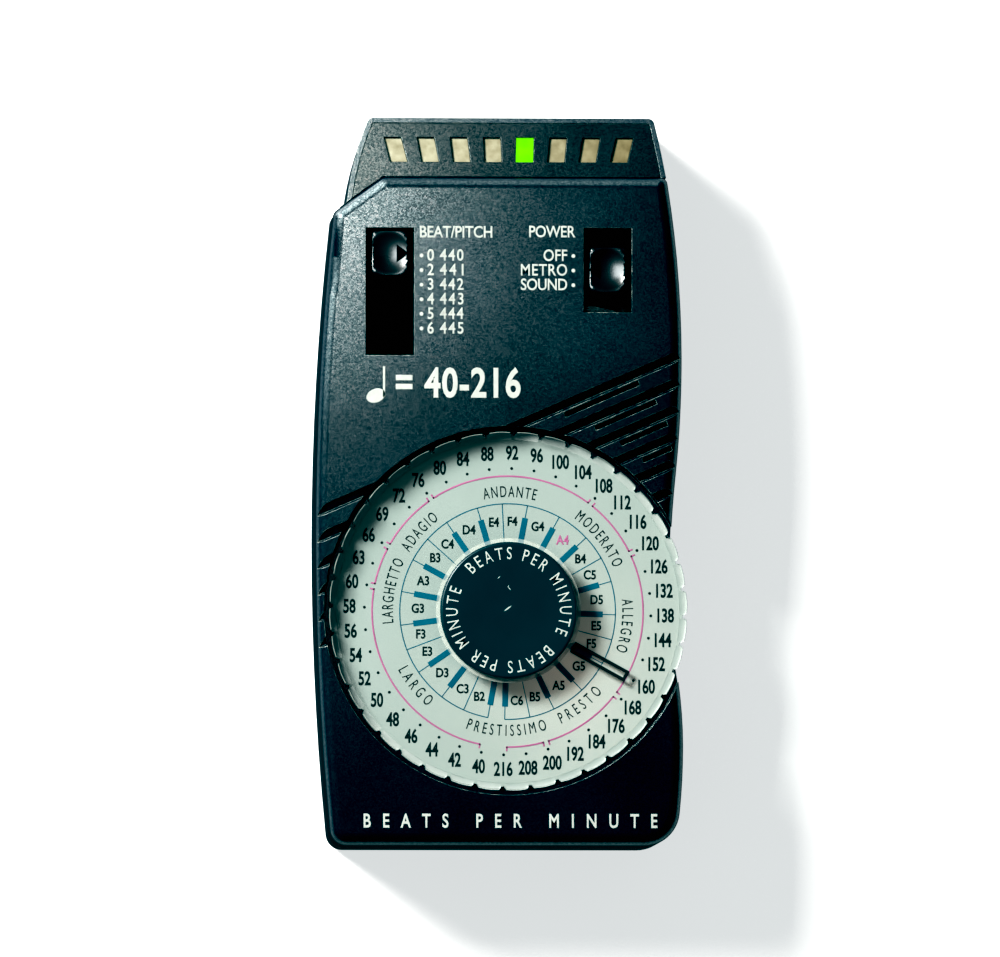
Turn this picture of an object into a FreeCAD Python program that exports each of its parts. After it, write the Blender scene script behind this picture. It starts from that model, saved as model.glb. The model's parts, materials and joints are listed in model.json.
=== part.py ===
"""Pocket quartz metronome.

It lies on its back: +Z comes out of the front face and +Y runs to the end with the beat lights.
The origin is under the middle of the whole object, on the surface that it lies on.
Millimetres. Places on the face are given from the dial's axis (x) and from the foot end (y).
"""
import FreeCAD, Part

import math
import os

V = FreeCAD.Vector
UP = V(0, 0, 1)

# ---------------------------------------------------------------- overall
length = 132.0              # foot end to light end
wall = 2.0                  # case walls
face_wall = 2.0             # front cover's face
back_wall = 2.0
edge_round = 2.2            # round along the edges of the face
back_round = 1.6            # round along the edges of the back

# The sides clear the wheel and the battery bay. "In" is measured from a side's widest part.
wheel_r = 32.4
well_air = 0.9              # between wheel and well wall
left_past_wheel = 2.4       # the wheel's edge to the widest part of the left side
wheel_past_right = 1.0      # the widest part of the right side to the wheel's edge
bay_to_left, bay_to_right = 8.4, 8.6    # battery and its connector to the sides
waist_in, waist_above_dial = 2.2, 3.6   # where the wheel is turned with a thumb
left_wide_above_dial = 13.6     # where the left side is widest
right_wide_from_end = 44.0
foot_wide_y = 18.0
foot_wide_out = 0.2
foot_left_in, foot_right_in = 2.9, 1.2
foot_left_r, foot_right_r = 3.0, 6.5    # corner radii in plan
end_left_in, end_right_in = 9.8, 4.9
end_corner_r = 1.2
end_bulge = 0.6             # the light end's left side bows out
shoulder_in = 3.2
shoulder_r, step_corner_r = 1.5, 2.0
block_corner = 2.4, 1.95    # shoulder to the light end's left side, along X and Y

# ---------------------------------------------------------------- fits
run_fit = 0.05              # shaft in hole, per side
slide_fit = 0.10            # sliding and dropped-in pieces, per side
air = 0.30                  # between pieces that pass each other

# ---------------------------------------------------------------- battery bay
battery_l, battery_w, battery_h = 46.0, 26.2, 17.5
battery_corner_r = 3.0
stud_h, stud_r, stud_pitch = 2.4, 2.8, 12.7
battery_from_foot = 3.2
battery_x = -26.4           # its closed end
bay_to_dial = 12.5          # the bay's far wall to the dial's axis
bay_rib = 1.2
battery_rib_in = 11.4, 12.6     # two ribs that hold the battery down, from its two ends

# ---------------------------------------------------------------- dial
well_depth = 5.0
well_floor = 1.6
well_wall = 1.6
wheel_rim_w = 1.7
wheel_rim_h = 2.8
wheel_web = 1.7
wheel_below_face = 0.7
n_steps = 40                # tempo steps in a turn
step_deg = 360.0 / n_steps
first_notch_deg = 1.8       # clockwise from +Y
notch_w, notch_depth = 0.9, 0.65
plate_in, plate_t = 0.75, 0.8      # plate_in: inside the wheel, as far as its notches reach
cap_r, cap_t, cap_round = 12.35, 2.0, 0.5
collar_w, collar_h = 0.7, 0.8
shaft_r = 3.0
hub_flange_r, hub_flange_t = 8.0, 0.7
pointer_deg = 118.8         # clockwise from +Y
pointer_w, pointer_line, pointer_t = 2.0, 0.45, 0.2
pointer_gap = 0.95          # cap to pointer
pointer_from_rim = 7.9

rotor_r, rotor_t = 11.0, 2.0
rotor_notch_r = 0.45
wiper_t, wiper_in, wiper_out = 0.3, 4.6, 9.6
wiper_slot = 1.2, 6.0       # across a finger's slot, from the turning side to the root
spring_nib_r, spring_t, spring_in = 0.8, 0.3, 0.2
spring_leaf = 5.5, 7.5      # the leaf's two ends, either side of its nib
spring_foot_l, spring_foot_w = 3.0, 2.0
wiper_reach = 1.0           # how far its fingers bend down
pad_t, pad_in, pad_out = 0.05, 7.4, 9.4
common_in, common_out = 5.0, 6.6
clip_r, clip_t, clip_groove = 4.2, 0.5, 0.6

# ---------------------------------------------------------------- light end
step_from_end = 11.1        # light end to the cover's step
step_chamfer = V(8.95, 6.5, 0)
panel_drop = 3.0            # face to panel, at the step
panel_slope = 15.0          # degrees, falling to the light end
panel_t = 1.6
rim_w = 0.9                 # back case's rim around the panel
n_lights = 8
light_pitch = 5.85
lights_left_of_middle = 0.55
light_from_end = 5.9
light_w, light_l = 3.2, 4.6
light_fan = 1.15            # sideways lean of the outermost windows
light_recess = 0.45
lit_light = 4               # counted from 0 at the left
led_w, led_l, led_h = 2.4, 3.4, 2.4
led_board_t = 1.2
led_post_r = 1.6
led_post_past = 2.1         # outermost lights to the posts
ribbon_w, ribbon_t = 14.0, 0.3
ribbon_under_leds = 5.0, 1.5        # past the cover's step
ribbon_on_board = 2.0, 6.0          # short of the step's wall
ribbon_notch_w, ribbon_notch_h = 36.0, 8.0     # in the cover's step wall

# ---------------------------------------------------------------- switches
pitch_slot_in, power_slot_in = 9.0, 9.15    # from the left and from the right side
slot_w = 8.7
pitch_slot_span = 20.45, 43.55      # far and near edges, from the light end
power_slot_span = 20.4, 35.7
pitch_from_end, power_from_end = 25.0, 27.9     # buttons' middles at rest
switch_step = 2.64
pitch_steps = 5
button_w, pitch_button_l, power_button_l = 6.4, 8.0, 8.2
button_below_face = 0.6
button_h = 4.2
button_round = 0.7
dish_r, dish_depth = 8.0, 1.0
slot_skirt = 1.0            # wall around a slot, below the face
slot_skirt_h = 1.6
switch_w, switch_h, switch_end = 7.6, 3.4, 1.4
lever_w, lever_l = 2.4, 3.0
lever_socket = 1.6          # how far a lever reaches into its button
flange_past_slot, flange_t = 0.7, 0.8

# ---------------------------------------------------------------- ribbed band and sound slots
n_grooves = 6
groove_deg = 23.6           # how steeply the band rises to the right
groove_pitch = 4.78         # along Y
groove_w, groove_depth = 1.85, 1.1
groove_steep = 0.35         # width of a groove's steep side, towards the foot
first_groove_below = 0.21   # the speaker's middle to the first groove's upper edge
sound_slots = ((0, -5.3, 8.1), (1, 0.2, 11.2), (2, 4.8, 13.2), (3, 8.8, 14.0))  # groove, x from the speaker
sound_slot_w, sound_slot_lip = 0.9, 0.25

# ---------------------------------------------------------------- speaker
speaker_r = 14.0
speaker_to_wall = 1.0
speaker_to_switch = 0.56    # holder's ring to the power switch
speaker_rim_h, speaker_rim_w = 1.2, 2.0
speaker_ledge_w = 1.6
basket_t = 0.6
cone_in, cone_depth = 3.6, 1.8
speaker_lead_r = 0.45
tab_in, tab_l, tab_w, tab_h = 0.6, 2.4, 6.4, 1.6    # the terminal block under the rim
lead_landing = 2.1          # holder's ring to the speaker leads' ends
basket_h, basket_r = 3.2, 9.5
magnet_r, magnet_h = 7.5, 2.6
cone_t = 0.4
cloth_t = 0.25
speaker_top_below_well = 0.5
speaker_ring_w = 1.3

# ---------------------------------------------------------------- boards and screws
board_t = 1.6
board_gap = 3.8             # well floor to board
board_edge = 0.6            # case wall to board
bay_to_board = 0.5
board_from_end = 13.9
seam_z = 13.0
bay_rib_above = 2.4         # how far the bay's far wall reaches above the seam
boss_r = 2.7
boss_extra = 0.9            # the back case's bosses are wider, for the screw heads
case_screw_r, case_screw_head_r, case_screw_head_h = 1.2, 2.5, 1.8
screw_sink = 3.4            # depth of the head's hole in the back
case_screw_up, case_pilot_up = 6.0, 7.0     # past the seam
bosses_end = (10.2, 17.9), (7.0, 16.4)      # in from the left and right side, from the light end
bosses_bay = (6.6, 5.1), (6.1, 3.6)         # the same, from the bay's far wall
post_r, board_screw_r, board_screw_head_r = 2.1, 0.9, 1.8
board_screw_head_h = 1.2
board_screw_up, board_pilot_up = 3.0, 3.2   # past the board
posts_end = (7.8, 51.0), (20.4, 17.0)       # in from the left and right side, from the light end
post_left_dial = -20.5, 13.6                # from the dial's axis
post_waist_in, post_below_dial = 8.0, 2.0   # beside the waist

# ---------------------------------------------------------------- parts on the board
# "End" is a place along Y from the light end.
leg_w = 0.4                 # wire legs
driver_to_speaker, driver_end = 5.2, 52.0
driver_r, driver_h, driver_up, driver_flat = 2.2, 3.0, 0.5, 1.2
driver_leg_pitch = 1.2
chip_to_driver = 7.3
chip_w, chip_l, chip_t, chip_up = 7.6, 18.0, 2.4, 0.4
chip_legs, chip_leg_out, chip_leg_h, chip_leg_inset = 14, 1.0, 0.9, 0.8
crystal_r, crystal_l, crystal_x, crystal_end = 1.5, 6.0, -2.0, 33.0
wire_r = 0.2
crystal_wire_l, crystal_wire_pitch = 3.0, 1.0
can_sizes = (2.5, 6.4), (2.0, 5.2), (1.9, 3.2)     # radius and height
can_ends = 22.5, 21.5, 58.0
can_x, can_to_slot = -8.5, 4.5
resistor_r, resistor_l, resistor_wire_l = 0.9, 4.0, 6.4
resistor_rows = (5.0, 26.0), (5.0, 28.5), (5.0, 31.0), (-10.0, 29.0), (-10.0, 31.5)    # x and end
resistor_side_in, resistor_side_end = 8.8, 63.0     # the one by the left side

# ---------------------------------------------------------------- battery door
door_past_battery = 0.6     # past its closed end
door_past_bay = 0.3         # the bay's far wall reaches this far over the door
tongue_w = 1.2
lip_t = 0.95
grip_ribs, grip_pitch, grip_w, grip_depth = 7, 1.6, 16.0, 0.5
grip_from_foot = 7.0
bay_past_battery = 0.5      # battery to the bay's far wall
bay_rib_from_foot, bay_rib_short = 4.0, 3.0
snap_r, snap_back = 4.6, 0.8
lead_r = 0.6

# ---------------------------------------------------------------- worked out from the sizes above
snap_x = battery_x + battery_l + stud_h + snap_back
bay_l = battery_from_foot + battery_w + bay_past_battery
left_reach = max(wheel_r + left_past_wheel, bay_to_left - battery_x)
right_reach = max(wheel_r - wheel_past_right, snap_x + bay_to_right)
waist_x = right_reach - waist_in
dial_x = (left_reach - max(wheel_r, right_reach)) / 2
foot_y = -length / 2
well_r = wheel_r + well_air
dial_from_foot = bay_l + bay_to_dial
plate_r = wheel_r - plate_in
pointer_in = cap_r + pointer_gap
pointer_out = wheel_r - pointer_from_rim
step_y = length - step_from_end

battery_z = back_wall + air
bay_top = battery_z + battery_h
bay_air = 1.6
floor_under = bay_top + bay_air
floor_top = floor_under + well_floor
face_z = floor_top + well_depth
ceiling_z = face_z - face_wall

board_top = floor_under - board_gap
board_z = board_top - board_t

plate_top = floor_top + plate_t
wheel_top = face_z - wheel_below_face
web_top = wheel_top - (wheel_rim_h - wheel_web) / 2
web_under = web_top - wheel_web
cap_top = web_top + cap_t

wiper_z = board_top + pad_t + slide_fit
rotor_z = wiper_z + wiper_reach + wiper_t
shaft_end = board_top + pad_t + slide_fit

speaker_top = floor_under - speaker_top_below_well
speaker_hole_r = speaker_r + slide_fit + speaker_ring_w
speaker_x = right_reach - wall - speaker_to_wall - speaker_r
power_near_end = length - power_from_end - switch_step - lever_l / 2 - switch_end
speaker_y = power_near_end - speaker_to_switch - speaker_hole_r
driver_x = speaker_x - speaker_hole_r - driver_to_speaker

board_from_foot = bay_l + bay_rib + bay_to_board
door_left = battery_x - door_past_battery
door_right = snap_x - air
door_l = bay_l - door_past_bay

button_top = face_z - button_below_face
button_z = button_top - button_h

# A slot's left and right edges, then its near and far edges.
pitch_slot = (
    pitch_slot_in - left_reach, pitch_slot_in + slot_w - left_reach,
    length - pitch_slot_span[1], length - pitch_slot_span[0],
)
power_slot = (
    right_reach - power_slot_in - slot_w, right_reach - power_slot_in,
    length - power_slot_span[1], length - power_slot_span[0],
)


def by_sides(places):
    """Two places along Y, one in from the left side and one in from the right side."""
    (left_in, left_y), (right_in, right_y) = places
    return [(left_in - left_reach, left_y), (right_reach - right_in, right_y)]


def from_light_end(places):
    return [(x, length - y) for x, y in places]


case_bosses = from_light_end(by_sides(bosses_end)) + [(x, bay_l + y) for x, y in by_sides(bosses_bay)]
board_posts = from_light_end(by_sides(posts_end)) + [
    (post_left_dial[0], dial_from_foot + post_left_dial[1]),
    (waist_x - post_waist_in, dial_from_foot - post_below_dial),
]

panel_z = face_z - panel_drop
led_board_drop = panel_t + led_h + 2 * slide_fit


def at(x, y, z=0.0):
    """A point given from the dial's axis and the foot end."""
    return V(dial_x + x, foot_y + y, z)


def box(x0, x1, y0, y1, z0, z1):
    return Part.makeBox(x1 - x0, y1 - y0, z1 - z0, at(x0, y0, z0))


def disc(x, y, z0, z1, r):
    return Part.makeCylinder(r, z1 - z0, at(x, y, z0))


def ring(x, y, z0, z1, r_in, r_out):
    return disc(x, y, z0, z1, r_out).cut(disc(x, y, z0, z1, r_in))


def prism(points, z0, z1):
    """An upright prism over a polygon."""
    corners = [V(p.x, p.y, z0) for p in points]
    return Part.Face(Part.makePolygon(corners + corners[:1])).extrude(UP * (z1 - z0))


def fuse(shapes):
    return shapes[0].multiFuse(shapes[1:]).removeSplitter()


def group(shapes):
    return Part.Compound(shapes)


def largest(shape):
    """The biggest solid of a shape, without the crumbs that round cuts leave at an edge."""
    return max(shape.Solids, key=lambda solid: solid.Volume)


def upright_edges(shape, point, reach=1.0):
    """The upright edges that stand within reach of a point in plan."""
    found = []
    for edge in shape.Edges:
        a, b = edge.Vertexes[0].Point, edge.Vertexes[-1].Point
        beside = math.hypot(a.x - point.x, a.y - point.y)
        if abs(a.z - b.z) > 0.5 and math.hypot(a.x - b.x, a.y - b.y) < 0.01 and beside < reach:
            found.append(edge)
    return found


def level_edges(shape, z):
    """The edges that lie in the plane at height z."""
    return [e for e in shape.Edges if abs(e.BoundBox.ZMin - z) < 1e-4 and abs(e.BoundBox.ZMax - z) < 1e-4]


# ---------------------------------------------------------------- case outline
corner_foot_left = at(foot_left_in - left_reach, 0)
corner_foot_right = at(right_reach - foot_right_in, 0)
corner_end_right = at(right_reach - end_right_in, length)
corner_end_left = at(end_left_in - left_reach, length)
corner_shoulder = at(shoulder_in - left_reach, step_y - step_chamfer.y)
corner_step = corner_shoulder + step_chamfer
corner_block = corner_shoulder + V(block_corner[0], block_corner[1], 0)
right_wide = at(right_reach, length - right_wide_from_end)


def bow(start, end):
    """An arc that runs along Y at its start and ends at a given point."""
    dx, dy = end.x - start.x, end.y - start.y
    radius = (dx * dx + dy * dy) / (2 * abs(dx))
    side, way = math.copysign(1, dx), math.copysign(1, dy)
    half = math.asin(abs(dy) / radius) / 2
    middle = V(start.x + side * radius * (1 - math.cos(half)), start.y + way * radius * math.sin(half), 0)
    return Part.Arc(start, middle, end).toShape()


def bow_x(start, end, y):
    """Where a bow that narrows the case on the right passes a place along Y."""
    dx, dy = start.x - end.x, end.y - start.y
    radius = (dx * dx + dy * dy) / (2 * dx)
    return start.x - radius + math.sqrt(radius ** 2 - (y - start.y) ** 2)


def s_bend(start, end):
    """Two equal arcs that run along Y at both ends."""
    middle = (start + end) / 2
    return [bow(start, middle), bow(end, middle)]


def case_outline():
    """The case in plan: two long bowed sides, a waist at the dial and a chamfered left shoulder."""
    left_wide = at(-left_reach, dial_from_foot + left_wide_above_dial)
    waist = at(waist_x, dial_from_foot + waist_above_dial)
    foot_wide = at(right_reach + foot_wide_out, foot_wide_y)
    end_middle = (corner_block + corner_end_left) / 2 - V(end_bulge, 0, 0)
    edges = [
        bow(left_wide, corner_foot_left),
        bow(left_wide, corner_shoulder),
        Part.LineSegment(corner_shoulder, corner_block).toShape(),
        Part.Arc(corner_block, end_middle, corner_end_left).toShape(),
        Part.LineSegment(corner_end_left, corner_end_right).toShape(),
        bow(right_wide, corner_end_right),
        *s_bend(right_wide, waist),
        *s_bend(waist, foot_wide),
        bow(foot_wide, corner_foot_right),
        Part.LineSegment(corner_foot_right, corner_foot_left).toShape(),
    ]
    return Part.Wire(Part.__sortEdges__(edges))


def case_block(z0, z1):
    """The solid inside the outline, with its corners rounded in plan."""
    face = Part.Face(case_outline())
    face.translate(V(0, 0, z0))
    block = face.extrude(UP * (z1 - z0))
    for corner, radius in (
        (corner_foot_left, foot_left_r),
        (corner_foot_right, foot_right_r),
        (corner_end_right, end_corner_r),
        (corner_end_left, end_corner_r),
    ):
        block = block.makeFillet(radius, upright_edges(block, corner))
    return block


def inset(distance, z0, z1):
    """The case block drawn in by a distance on every side."""
    section = case_block(0, 1).slice(UP, 0.5)
    face = Part.Face(Part.Wire(section[0].Edges)).makeOffset2D(-distance)
    face.translate(V(0, 0, z0 - 0.5))
    return face.extrude(UP * (z1 - z0))


def light_end(gap, z0, z1):
    """Everything past the cover's step, its chamfer and a gap."""
    far = length / 2
    corner = corner_step + V(0, gap, 0)
    return prism([
        corner - step_chamfer * (far / step_chamfer.x),
        corner,
        corner + V(far, 0, 0),
        corner + V(far, far, 0),
        corner + V(-far, far, 0),
    ], z0, z1)


def slab(top_drop, bottom_drop):
    """A layer that lies along the light panel, between two depths below its top."""
    far = length / 2
    return under_panel(-far, far, -far, far, top_drop, bottom_drop)


# ---------------------------------------------------------------- case
def slot_hole(slot, grow, z0, z1):
    left, right, near, far = slot
    return box(left - grow, right + grow, near - grow, far + grow, z0, z1)


def flange_room(slot):
    """The room under the face that a slider's flange runs in, on both sides of its slot."""
    left, right, near, far = slot
    past = flange_past_slot + air
    return box(left - past, right + past, near, far, button_z - flange_t - air, ceiling_z - slot_skirt_h)


def band_prism(index, x0, x1, profile):
    """A straight prism along one line of the ribbed band.

    The profile is pairs of distance below the line, square to it, and height.
    """
    lean = math.radians(groove_deg)
    y0 = speaker_y - first_groove_below - index * groove_pitch + math.tan(lean) * (x0 - speaker_x)
    points = [at(x0 + u * math.sin(lean), y0 - u * math.cos(lean), z) for u, z in profile]
    run = (x1 - x0) / math.cos(lean)
    along = V(run * math.cos(lean), run * math.sin(lean), 0)
    return Part.Face(Part.makePolygon(points + points[:1])).extrude(along)


def groove(index):
    """A saw-tooth groove: a long slope down, then a steep side back up to the face."""
    above = face_z + 1
    return band_prism(index, -2 * left_reach, 2 * right_reach, [
        (0, face_z), (0, above), (groove_w, above), (groove_w, face_z),
        (groove_w - groove_steep, face_z - groove_depth),
    ])


def sound_slot(index, x0, x1):
    near = groove_w + sound_slot_lip
    far = near + sound_slot_w
    low, above = ceiling_z - 2.5, face_z + 1
    profile = [(near, low), (near, above), (far, above), (far, low)]
    return band_prism(index, speaker_x + x0, speaker_x + x1, profile)


def front_cover():
    below = seam_z - 1.0
    block = case_block(seam_z, face_z).cut(light_end(0, below, face_z + 1))
    line_y = at(0, step_y).y
    for corner, radius in (
        (corner_shoulder, shoulder_r),
        (corner_step, step_corner_r),
        (V(bow_x(right_wide, corner_end_right, line_y), line_y, 0), end_corner_r),
    ):
        block = block.makeFillet(radius, upright_edges(block, corner))
    block = block.makeFillet(edge_round, level_edges(block, face_z))

    hollow = inset(wall, below, ceiling_z).cut(light_end(-wall, below, face_z))
    well_solid = disc(0, dial_from_foot, floor_under, ceiling_z + 0.5, well_r + well_wall)
    cover = block.cut(hollow.cut(well_solid))

    added = [
        slot_hole(pitch_slot, slot_skirt, ceiling_z - slot_skirt_h, ceiling_z + 0.5),
        slot_hole(power_slot, slot_skirt, ceiling_z - slot_skirt_h, ceiling_z + 0.5),
        speaker_holder(),
    ]
    for x, y in case_bosses:
        added.append(disc(x, y, seam_z, ceiling_z + 0.5, boss_r).common(block))
    for x, y in board_posts:
        added.append(disc(x, y, board_top, ceiling_z + 0.5, post_r))
    for x in (battery_x + battery_rib_in[0], battery_x + battery_l - battery_rib_in[1]):
        rib = box(x - bay_rib / 2, x + bay_rib / 2, 0, bay_l, bay_top + air, floor_under + 0.5)
        added.append(rib.common(well_solid.fuse(disc(0, dial_from_foot, bay_top, floor_top, well_r))))
    cover = fuse([cover] + added)

    cuts = [
        disc(0, dial_from_foot, floor_top, face_z + 5, well_r),
        disc(0, dial_from_foot, floor_under - 1, floor_top + 1, shaft_r + run_fit),
        slot_hole(pitch_slot, 0, ceiling_z - 5, face_z + 1),
        slot_hole(power_slot, 0, ceiling_z - 5, face_z + 1),
        flange_room(pitch_slot),
        flange_room(power_slot),
        box(
            -ribbon_notch_w / 2, ribbon_notch_w / 2, step_y - wall - 0.5, step_y + 0.5,
            below, seam_z + ribbon_notch_h,
        ),
    ]
    cuts += [groove(index) for index in range(n_grooves)]
    cuts += [sound_slot(*place) for place in sound_slots]
    for x, y in case_bosses:
        cuts.append(disc(x, y, below, seam_z + case_pilot_up, case_screw_r))
    for x, y in board_posts:
        cuts.append(disc(x, y, board_top - 1, board_top + board_pilot_up, board_screw_r))
    return cover.cut(cuts).removeSplitter()


def speaker_holder():
    """The ring under the cover that the speaker drops into, with the ledge that it seats on."""
    r = speaker_r + slide_fit
    tube = ring(speaker_x, speaker_y, speaker_top - 1.8, ceiling_z + 0.5, r, r + speaker_ring_w)
    ledge_r = speaker_r - speaker_ledge_w
    ledge = ring(speaker_x, speaker_y, speaker_top, speaker_top + 1.0, ledge_r, r + 0.2)
    inside = inset(wall / 2, seam_z, ceiling_z + 0.5)
    return fuse([tube, ledge]).common(inside)


def door_shape(gap, z_low):
    """The battery door's plate and tongues, or with a gap the room that it slides in."""
    top = back_wall - slide_fit + 2 * gap
    plate = box(door_left - gap, door_right + gap, -5, door_l + gap, z_low, top)
    tongues = box(
        door_left - tongue_w - gap, door_right + tongue_w + gap,
        -5, door_l + gap,
        lip_t + slide_fit - gap, top,
    )
    return plate.fuse(tongues)


def back_case():
    block = case_block(0, face_z)
    block = block.makeFillet(back_round, level_edges(block, 0.0))
    above = Part.makeBox(2 * length, 2 * length, face_z, V(-length, -length, seam_z))
    cover_room = above.cut(light_end(slide_fit, seam_z - 1, 2 * face_z))
    block = block.cut([cover_room, slab(-2 * face_z, 0)])

    hollow = inset(wall, back_wall, face_z)
    panel_seat = inset(rim_w, seam_z, face_z).common(slab(-2 * face_z, panel_t))
    case = block.cut([hollow, panel_seat])

    inside = inset(wall + air, back_wall - 0.5, seam_z + bay_rib_above)
    low, near, far = back_wall - 0.5, bay_rib_from_foot, bay_l - bay_rib_short
    ribs = [
        box(-left_reach, left_reach, bay_l, bay_l + bay_rib, low, seam_z + bay_rib_above),
        box(door_left - tongue_w - bay_rib, battery_x - air, near, far, low, seam_z),
        box(snap_x + air, snap_x + air + 2 * bay_rib, near, far, low, seam_z),
    ]
    added = [rib.common(inside) for rib in ribs]
    for x, y in case_bosses:
        added.append(disc(x, y, back_wall - 0.5, seam_z, boss_r + boss_extra).common(block))
    for x in led_posts():
        post = disc(x, length - light_from_end, back_wall - 0.5, face_z, led_post_r)
        added.append(post.cut(slab(-2 * face_z, led_board_drop + led_board_t)))
    case = fuse([case] + added)

    cuts = [door_shape(slide_fit, -1)]
    for x, y in case_bosses:
        cuts.append(disc(x, y, -1, screw_sink, case_screw_head_r + slide_fit))
        cuts.append(disc(x, y, -1, seam_z + 1, case_screw_r + slide_fit))
        cuts.append(disc(x, y, seam_z, face_z, boss_r + air))
    return case.cut(cuts).removeSplitter()


def battery_door():
    block = case_block(0, face_z)
    block = block.makeFillet(back_round, level_edges(block, 0.0))
    door = block.common(door_shape(0, 0))
    middle = (door_left + door_right) / 2
    grips = []
    for index in range(grip_ribs):
        y = grip_from_foot + index * grip_pitch
        grips.append(box(middle - grip_w / 2, middle + grip_w / 2, y, y + grip_pitch / 2, -1, grip_depth))
    return door.cut(grips).removeSplitter()


def screw(x, y, head_z, up_to, r, head_r, head_h):
    """A pan-head screw that is driven upwards, with a cross in its head."""
    body = disc(x, y, head_z - head_h, head_z, head_r).fuse(disc(x, y, head_z - 0.1, up_to, r))
    arm, half = head_r * 0.62, head_r * 0.13
    low, high = head_z - head_h - 1, head_z - head_h * 0.45
    cross = [
        box(x - arm, x + arm, y - half, y + half, low, high),
        box(x - half, x + half, y - arm, y + arm, low, high),
    ]
    return body.cut(cross).removeSplitter()


def case_screws():
    made = []
    for x, y in case_bosses:
        made.append(screw(
            x, y, screw_sink, seam_z + case_screw_up,
            case_screw_r - run_fit, case_screw_head_r, case_screw_head_h,
        ))
    return group(made)


def board_screws():
    made = []
    for x, y in board_posts:
        made.append(screw(
            x, y, board_z, board_top + board_screw_up,
            board_screw_r - run_fit, board_screw_head_r, board_screw_head_h,
        ))
    return group(made)


# ---------------------------------------------------------------- light end
def light_places():
    half = (n_lights - 1) / 2
    middle = (corner_end_left.x + corner_end_right.x) / 2 - dial_x - lights_left_of_middle
    for index in range(n_lights):
        yield index, middle + (index - half) * light_pitch, light_fan * (index - half) / half


def led_posts():
    lights = [x for _, x, _ in light_places()]
    return min(lights) - led_post_past, max(lights) + led_post_past


def light_prism(x, lean, grow):
    """A beat light's window: level ends, and sides that fan out towards the light end."""
    y = length - light_from_end
    half_w, half_l = light_w / 2 + grow, light_l / 2 + grow
    return prism([
        at(x - half_w - lean / 2, y - half_l),
        at(x + half_w - lean / 2, y - half_l),
        at(x + half_w + lean / 2, y + half_l),
        at(x - half_w + lean / 2, y + half_l),
    ], seam_z, face_z + 1)


def light_panel():
    panel = inset(rim_w + slide_fit, seam_z, face_z).common(light_end(2 * slide_fit, seam_z, face_z))
    panel = panel.common(slab(0, panel_t))
    return panel.cut([light_prism(x, lean, 0) for _, x, lean in light_places()])


def windows(wanted):
    layer = slab(light_recess, panel_t)
    places = [place for place in light_places() if wanted(place[0])]
    return [light_prism(x, lean, -run_fit).common(layer) for _, x, lean in places]


def beat_windows():
    return group(windows(lambda index: index != lit_light))


def beat_window_lit():
    return windows(lambda index: index == lit_light)[0]


def under_panel(x0, x1, y0, y1, drop0, drop1):
    """A box laid along the light panel: y from the step, drops below the panel's top."""
    shape = Part.makeBox(x1 - x0, y1 - y0, drop1 - drop0, V(x0, y0, -drop1))
    shape.rotate(V(0, 0, 0), V(1, 0, 0), -panel_slope)
    shape.translate(at(0, step_y, panel_z))
    return shape


def leds():
    made = []
    middle = (step_from_end - light_from_end) / math.cos(math.radians(panel_slope))
    top = panel_t + slide_fit
    for _, x, _ in light_places():
        made.append(under_panel(
            x - led_w / 2, x + led_w / 2, middle - led_l / 2, middle + led_l / 2,
            top, top + led_h,
        ))
    return group(made)


def led_board():
    board = slab(led_board_drop - slide_fit, led_board_drop + led_board_t)
    room = inset(wall + board_edge, seam_z, face_z).common(light_end(2 * air, seam_z, face_z))
    return board.common(room)


def led_ribbon():
    """A flat cable under the light board that steps down onto the main board."""
    slope = math.tan(math.radians(panel_slope))
    depth = (led_board_drop + led_board_t) / math.cos(math.radians(panel_slope))

    def under_board(y):
        return panel_z - depth - (y - step_y) * slope - run_fit

    t = ribbon_t
    y_far, y_near = [step_y + reach for reach in ribbon_under_leds]
    y_land, y_end = [step_y - wall - reach for reach in ribbon_on_board]
    land_z = board_top + run_fit
    side = [
        V(0, y_far, under_board(y_far)),
        V(0, y_near, under_board(y_near)),
        V(0, y_land, land_z + t),
        V(0, y_end, land_z + t),
        V(0, y_end, land_z),
        V(0, y_land, land_z),
        V(0, y_near, under_board(y_near) - t),
        V(0, y_far, under_board(y_far) - t),
    ]
    points = [at(-ribbon_w / 2, p.y, p.z) for p in side]
    return Part.Face(Part.makePolygon(points + points[:1])).extrude(V(ribbon_w, 0, 0))


# ---------------------------------------------------------------- dial
def on_dial(z0, z1, r):
    return disc(0, dial_from_foot, z0, z1, r)


def around_dial(shape, clockwise_deg):
    """A copy turned about the dial's axis."""
    copy = shape.copy()
    copy.rotate(at(0, dial_from_foot), UP, -clockwise_deg)
    return copy


def dial_box(x0, x1, r0, r1, z0, z1):
    """A box beside the dial's axis, with its length along +Y."""
    return box(x0, x1, dial_from_foot + r0, dial_from_foot + r1, z0, z1)


def turned(profile):
    """A ring turned about the dial's axis from radius and height pairs."""
    points = [at(r, dial_from_foot, z) for r, z in profile]
    face = Part.Face(Part.makePolygon(points + points[:1]))
    return face.revolve(at(0, dial_from_foot), UP, 360)


def scale_plate():
    return on_dial(floor_top, plate_top, plate_r).cut(on_dial(floor_top - 1, plate_top + 1, shaft_r + air))


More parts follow.
